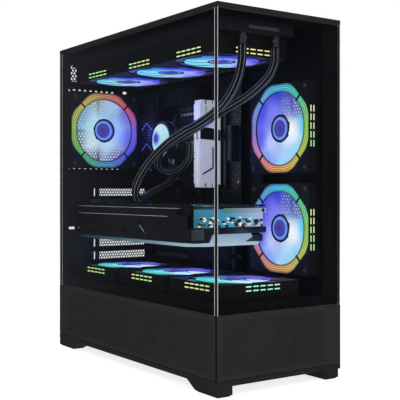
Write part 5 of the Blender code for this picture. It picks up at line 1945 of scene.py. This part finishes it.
    @staticmethod
    def add_side_lines(shape, low, high):
        for z, start in ((high.z - 0.002, 0.03), (high.z - 0.0128, 0.06)):
            shape.box((low.x - 0.0002, low.y + start, z), (low.x + 0.0008, high.y - 0.006, z + 0.0006),
                      FINISH.white_print)
        slant = [(0.2074, 0.1823), (0.2086, 0.1823), (0.2248, 0.1942), (0.2236, 0.1942)]
        shape.plate([slant], "YZ", low.x + 0.0002, low.x + 0.0012, FINISH.white_print)
        trapezoid = [(0.205, low.z + 0.012), (0.275, low.z + 0.012), (0.262, low.z + 0.033),
                     (0.222, low.z + 0.033)]
        inner = [(0.208, low.z + 0.013), (0.272, low.z + 0.013), (0.2605, low.z + 0.032),
                 (0.2235, low.z + 0.032)]
        shape.plate([trapezoid, inner], "YZ", low.x + 0.0002, low.x + 0.001, FINISH.card_metal)
        shape.box((low.x - 0.0001, low.y + 0.045, low.z + 0.013), (low.x + 0.0009, low.y + 0.1,
                                                                   low.z + 0.015),
                  FINISH.card_metal, 0.0003)

    @staticmethod
    def add_bracket(shape):
        shape.plate([oblong(0.052, 0.1695, 0.166, 0.2295, 0.001)]
                    + [oblong(0.062 + 0.024 * i, 0.174, 0.08 + 0.024 * i, 0.181, 0.001) for i in range(2)]
                    + [oblong(0.062, 0.205, 0.15, 0.2085, 0.0015), oblong(0.062, 0.212, 0.15, 0.2155,
                                                                          0.0015)],
                    "XZ", 0.417, 0.4182, FINISH.nickel)
        for i in range(4):
            x = 0.06 + 0.024 * i
            shape.box((x, 0.415, 0.189), (x + 0.0165, 0.4186, 0.1965), FINISH.connector, 0.0006)
        shape.box((0.149, 0.3, 0.2095), (0.1677, 0.389, 0.212), FINISH.board)
        row_of(shape, block_unit((0.007, 0.0007, 0.0028)), FINISH.gold, (0.164, 0.303, 0.21075),
               (0, 0.0011, 0), 76)

    @staticmethod
    def make_backplate():
        low, high = node_box("graphics_card_backplate")
        shape = Shape()
        vents = [oblong(0.05 + 0.009 * i, 0.33, 0.054 + 0.009 * i, 0.392, 0.0019) for i in range(10)]
        shape.plate([oblong(low.x, low.y, high.x, high.y, 0.003)] + vents, "XY", low.z, high.z - 0.0006,
                    FINISH.card_metal, 0.0004)
        rib = [(0.04, 0.11), (0.09, 0.11), (0.11, 0.14), (0.11, 0.29), (0.1, 0.305), (0.04, 0.305)]
        inner = [(0.043, 0.113), (0.0885, 0.113), (0.107, 0.141), (0.107, 0.289), (0.0985, 0.302),
                 (0.043, 0.302)]
        shape.plate([rib, inner], "XY", high.z - 0.0008, high.z, FINISH.card)
        screws(shape, [(x, y) for x in (0.034, 0.144) for y in (0.1, 0.205, 0.31, 0.403)], "XY",
               high.z - 0.0014, 0.0024, 0.0012)
        shape.done("graphics_card_cover", "root", ["graphics_card_backplate"], "card_metal")

    @staticmethod
    def make_rotor(end, y):
        place = Matrix.Translation((CARD_FAN_X, y, 0.1765)) @ Matrix.Rotation(math.pi, 4, "X")
        shape = Shape()
        maker = blade_maker(9, 0.0155, 0.0434, 0.0048, -0.005, 0.55, 0.0009, 0.8)
        shape.build(maker, FINISH.card, place, smooth=True)
        shape.turned(((0, 0.0055), (0.012, 0.0055), (0.015, 0.0048), (0.016, 0.0036), (0.016, -0.0052),
                      (0, -0.0052)), FINISH.card, place, 40)
        shape.turned(((0.0104, 0.0053), (0.0104, 0.0057), (0.0112, 0.0057), (0.0112, 0.0053),
                      (0.0104, 0.0053)),
                     FINISH.nickel, place, 40)
        node = f"graphics_card_rotor_{end}"
        shape.done(f"{node}_blades", node, [node], "card_plastic")


class TOWER_OT_slot_covers(Operator):
    """Builds the vented covers of the free expansion slots"""

    bl_idname = "tower.slot_covers"
    bl_label = "Slot covers"

    def execute(self, context):
        self.make_covers("slot_cover_upper", (UPPER_SLOT,))
        self.make_covers("slot_covers_lower", LOWER_SLOTS)
        return {"FINISHED"}

    @staticmethod
    def make_covers(node, levels):
        y0, y1, bar, pitch = 0.4172, 0.4184, 0.0088, 0.0046
        shape = Shape()
        columns, rows = 19, 3
        tall = rows * pitch * HEX_RISE
        for z in levels:
            field = oblong(0.068, z - tall / 2, 0.068 + (columns - 0.5) * pitch, z + tall / 2)
            slit = oblong(0.0582, z - 0.0062, 0.0604, z + 0.0062, 0.001)
            shape.plate([oblong(0.052, z - bar, 0.166, z + bar, 0.0006), field, slit], "XZ", y0, y1,
                        FINISH.card_metal, 0.0002)
            hex_field(shape, "XZ", y0 + 0.0001, (0.068 + (columns - 0.5) * pitch / 2, z), columns, rows,
                      pitch, 0.0038,
                      0.0009, FINISH.card_metal)
            shape.box((0.162, y0 - 0.009, z - 0.006), (0.1655, y0 + 0.0004, z + 0.006), FINISH.card_metal,
                      0.0003)
        if len(levels) > 1:
            shape.box((0.162, y0 - 0.0088, levels[0] - 0.0078), (0.1645, y1 - 0.0004, levels[-1] + 0.0078),
                      FINISH.card_metal)
        shape.done(f"{node}_vented", "root", [node], "card_metal")


# ---------------------------------------------------------------- lower chamber


class TOWER_OT_power_supply(Operator):
    """Builds the power supply with its fan guard, rear honeycomb, inlet and switch"""

    bl_idname = "tower.power_supply"
    bl_label = "Power supply"

    def execute(self, context):
        low, high = node_box("power_supply")
        middle = (low + high) / 2
        shape = Shape()
        floor = oblong(low.x, low.y, high.x, high.y - 0.0016, 0.001)
        shape.plate([floor, circle(middle.x, middle.y, 0.0605, 64)], "XY", low.z, low.z + 0.0012,
                    FINISH.supply, 0.0003)
        shape.plate([floor, circle(middle.x, middle.y, 0.061, 64)], "XY", low.z + 0.001, low.z + 0.0255,
                    FINISH.supply)
        shape.box((low.x, low.y, low.z + 0.0254), (high.x, high.y - 0.017, high.z), FINISH.supply, 0.0015)
        inlet, switch = oblong(0.05, 0.06, 0.076, 0.078, 0.002), oblong(0.0535, 0.0345, 0.0725, 0.0495, 0.001)
        pitch = 0.0056
        columns, rows = 13, 13
        wide, tall = (columns - 0.5) * pitch, rows * pitch * HEX_RISE
        field = oblong(0.086, 0.025, 0.086 + wide, 0.025 + tall)
        shape.plate([oblong(low.x, low.z, high.x, high.z, 0.001), inlet, switch, field], "XZ",
                    high.y - 0.0012, high.y,
                    FINISH.supply)
        hex_field(shape, "XZ", high.y - 0.0011, (0.086 + wide / 2, 0.025 + tall / 2), columns, rows, pitch,
                  0.0047,
                  0.001, FINISH.supply)
        self.add_inlet(shape, high.y)
        for radius in (0.016, 0.028, 0.04, 0.052, 0.06):
            points = [(middle.x + radius * math.cos(a), middle.y + radius * math.sin(a), low.z + 0.0009)
                      for a in (math.tau * i / 48 for i in range(49))]
            shape.sweep(points, 0.0008, FINISH.nickel, 6)
        for turn in range(4):
            a = math.pi / 4 + turn * math.pi / 2
            ends = [(middle.x + r * math.cos(a), middle.y + r * math.sin(a), low.z + 0.0012) for r in (0.01,
                                                                                                       0.062)]
            shape.sweep(ends, 0.0009, FINISH.nickel, 6)
        screws(shape, [(0.03, 0.022), (0.168, 0.022), (0.03, 0.096), (0.168, 0.09)], "XZ", high.y, 0.0032,
               0.0016,
               FINISH.grey_plastic, inward=True)
        shape.done("power_supply_case", "root", ["power_supply"], "supply_metal")
        self.make_rotor(middle)
        self.make_switch()
        return {"FINISHED"}

    @staticmethod
    def add_inlet(shape, rear):
        """A mains inlet: a socket with three blades behind its rim."""
        shape.box((0.05, rear - 0.016, 0.06), (0.076, rear - 0.015, 0.078), FINISH.connector)
        rim = [oblong(0.049, 0.059, 0.077, 0.079, 0.003), oblong(0.0515, 0.0612, 0.0745, 0.0768, 0.003)]
        shape.plate(rim, "XZ", rear - 0.015, rear + 0.0006, FINISH.connector)
        for x, z in ((0.056, 0.067), (0.063, 0.0715), (0.07, 0.067)):
            shape.box((x - 0.001, rear - 0.0152, z - 0.0022), (x + 0.001, rear - 0.003, z + 0.0022),
                      FINISH.nickel,
                      0.0004)

    @staticmethod
    def make_rotor(middle):
        place = Matrix.Translation((middle.x, middle.y, 0.03)) @ Matrix.Rotation(math.pi, 4, "X")
        shape = Shape()
        shape.build(blade_maker(7, 0.0205, 0.0578, 0.007, -0.006, 0.5, 0.001, 0.86), FINISH.connector, place,
                    smooth=True)
        shape.turned(((0, 0.0085), (0.019, 0.0085), (0.021, 0.007), (0.021, -0.0088), (0, -0.0088)),
                     FINISH.connector, place, 40)
        shape.done("power_supply_blades", "power_supply_rotor", ["power_supply_rotor"], "supply_metal")

    @staticmethod
    def make_switch():
        low, high = node_box("power_supply_switch")
        shape = Shape()
        middle = (low.x + high.x) / 2
        for z0, z1, lift in ((low.z, (low.z + high.z) / 2, 0.0), ((low.z + high.z) / 2, high.z, -0.0009)):
            shape.box((low.x, low.y, z0), (high.x, high.y + lift, z1), FINISH.gloss, 0.0006)
        shape.box((middle - 0.0006, high.y - 0.0004, low.z + 0.0018), (middle + 0.0006, high.y + 0.0001,
                                                                       low.z + 0.005),
                  FINISH.white_print)
        shape.done("power_supply_rocker", "power_supply_switch", ["power_supply_switch"], "supply_metal")


# ---------------------------------------------------------------- add-on

OPERATORS = (
    TOWER_OT_stage, TOWER_OT_hoses, TOWER_OT_glass, TOWER_OT_lower_panels, TOWER_OT_rear_wall,
    TOWER_OT_case_shell,
    TOWER_OT_filters, TOWER_OT_controls, TOWER_OT_fans, TOWER_OT_radiator, TOWER_OT_pump, TOWER_OT_board,
    TOWER_OT_memory, TOWER_OT_heatsinks, TOWER_OT_graphics_card, TOWER_OT_slot_covers, TOWER_OT_power_supply,
)
SETTINGS = {
    "tower_case": CaseSettings,
    "tower_fans": FanSettings,
    "tower_cooling": CoolingSettings,
    "tower_board": BoardSettings,
    "tower_card": CardSettings,
    "tower_stage": StageSettings,
}


class TOWER_PT_sidebar(Panel):
    """Lists the tower's pieces and their settings"""

    bl_idname = "TOWER_PT_sidebar"
    bl_label = "Desktop Computer Tower"
    bl_space_type = "VIEW_3D"
    bl_region_type = "UI"
    bl_category = "Tower"

    def draw(self, context):
        for operator in OPERATORS:
            self.layout.operator(operator.bl_idname)
        for name, group in SETTINGS.items():
            box = self.layout.box()
            for setting in group.__annotations__:
                box.prop(getattr(context.scene, name), setting)


def register():
    for group in SETTINGS.values():
        bpy.utils.register_class(group)
    for operator in OPERATORS:
        bpy.utils.register_class(operator)
    bpy.utils.register_class(TOWER_PT_sidebar)
    for name, group in SETTINGS.items():
        setattr(bpy.types.Scene, name, PointerProperty(type=group))


def unregister():
    for name in SETTINGS:
        delattr(bpy.types.Scene, name)
    bpy.utils.unregister_class(TOWER_PT_sidebar)
    for operator in reversed(OPERATORS):
        bpy.utils.unregister_class(operator)
    for group in reversed(list(SETTINGS.values())):
        bpy.utils.unregister_class(group)


def main():
    register()
    for operator in OPERATORS:
        group, name = operator.bl_idname.split(".")
        getattr(getattr(bpy.ops, group), name)()


if __name__ == "__main__":
    main()
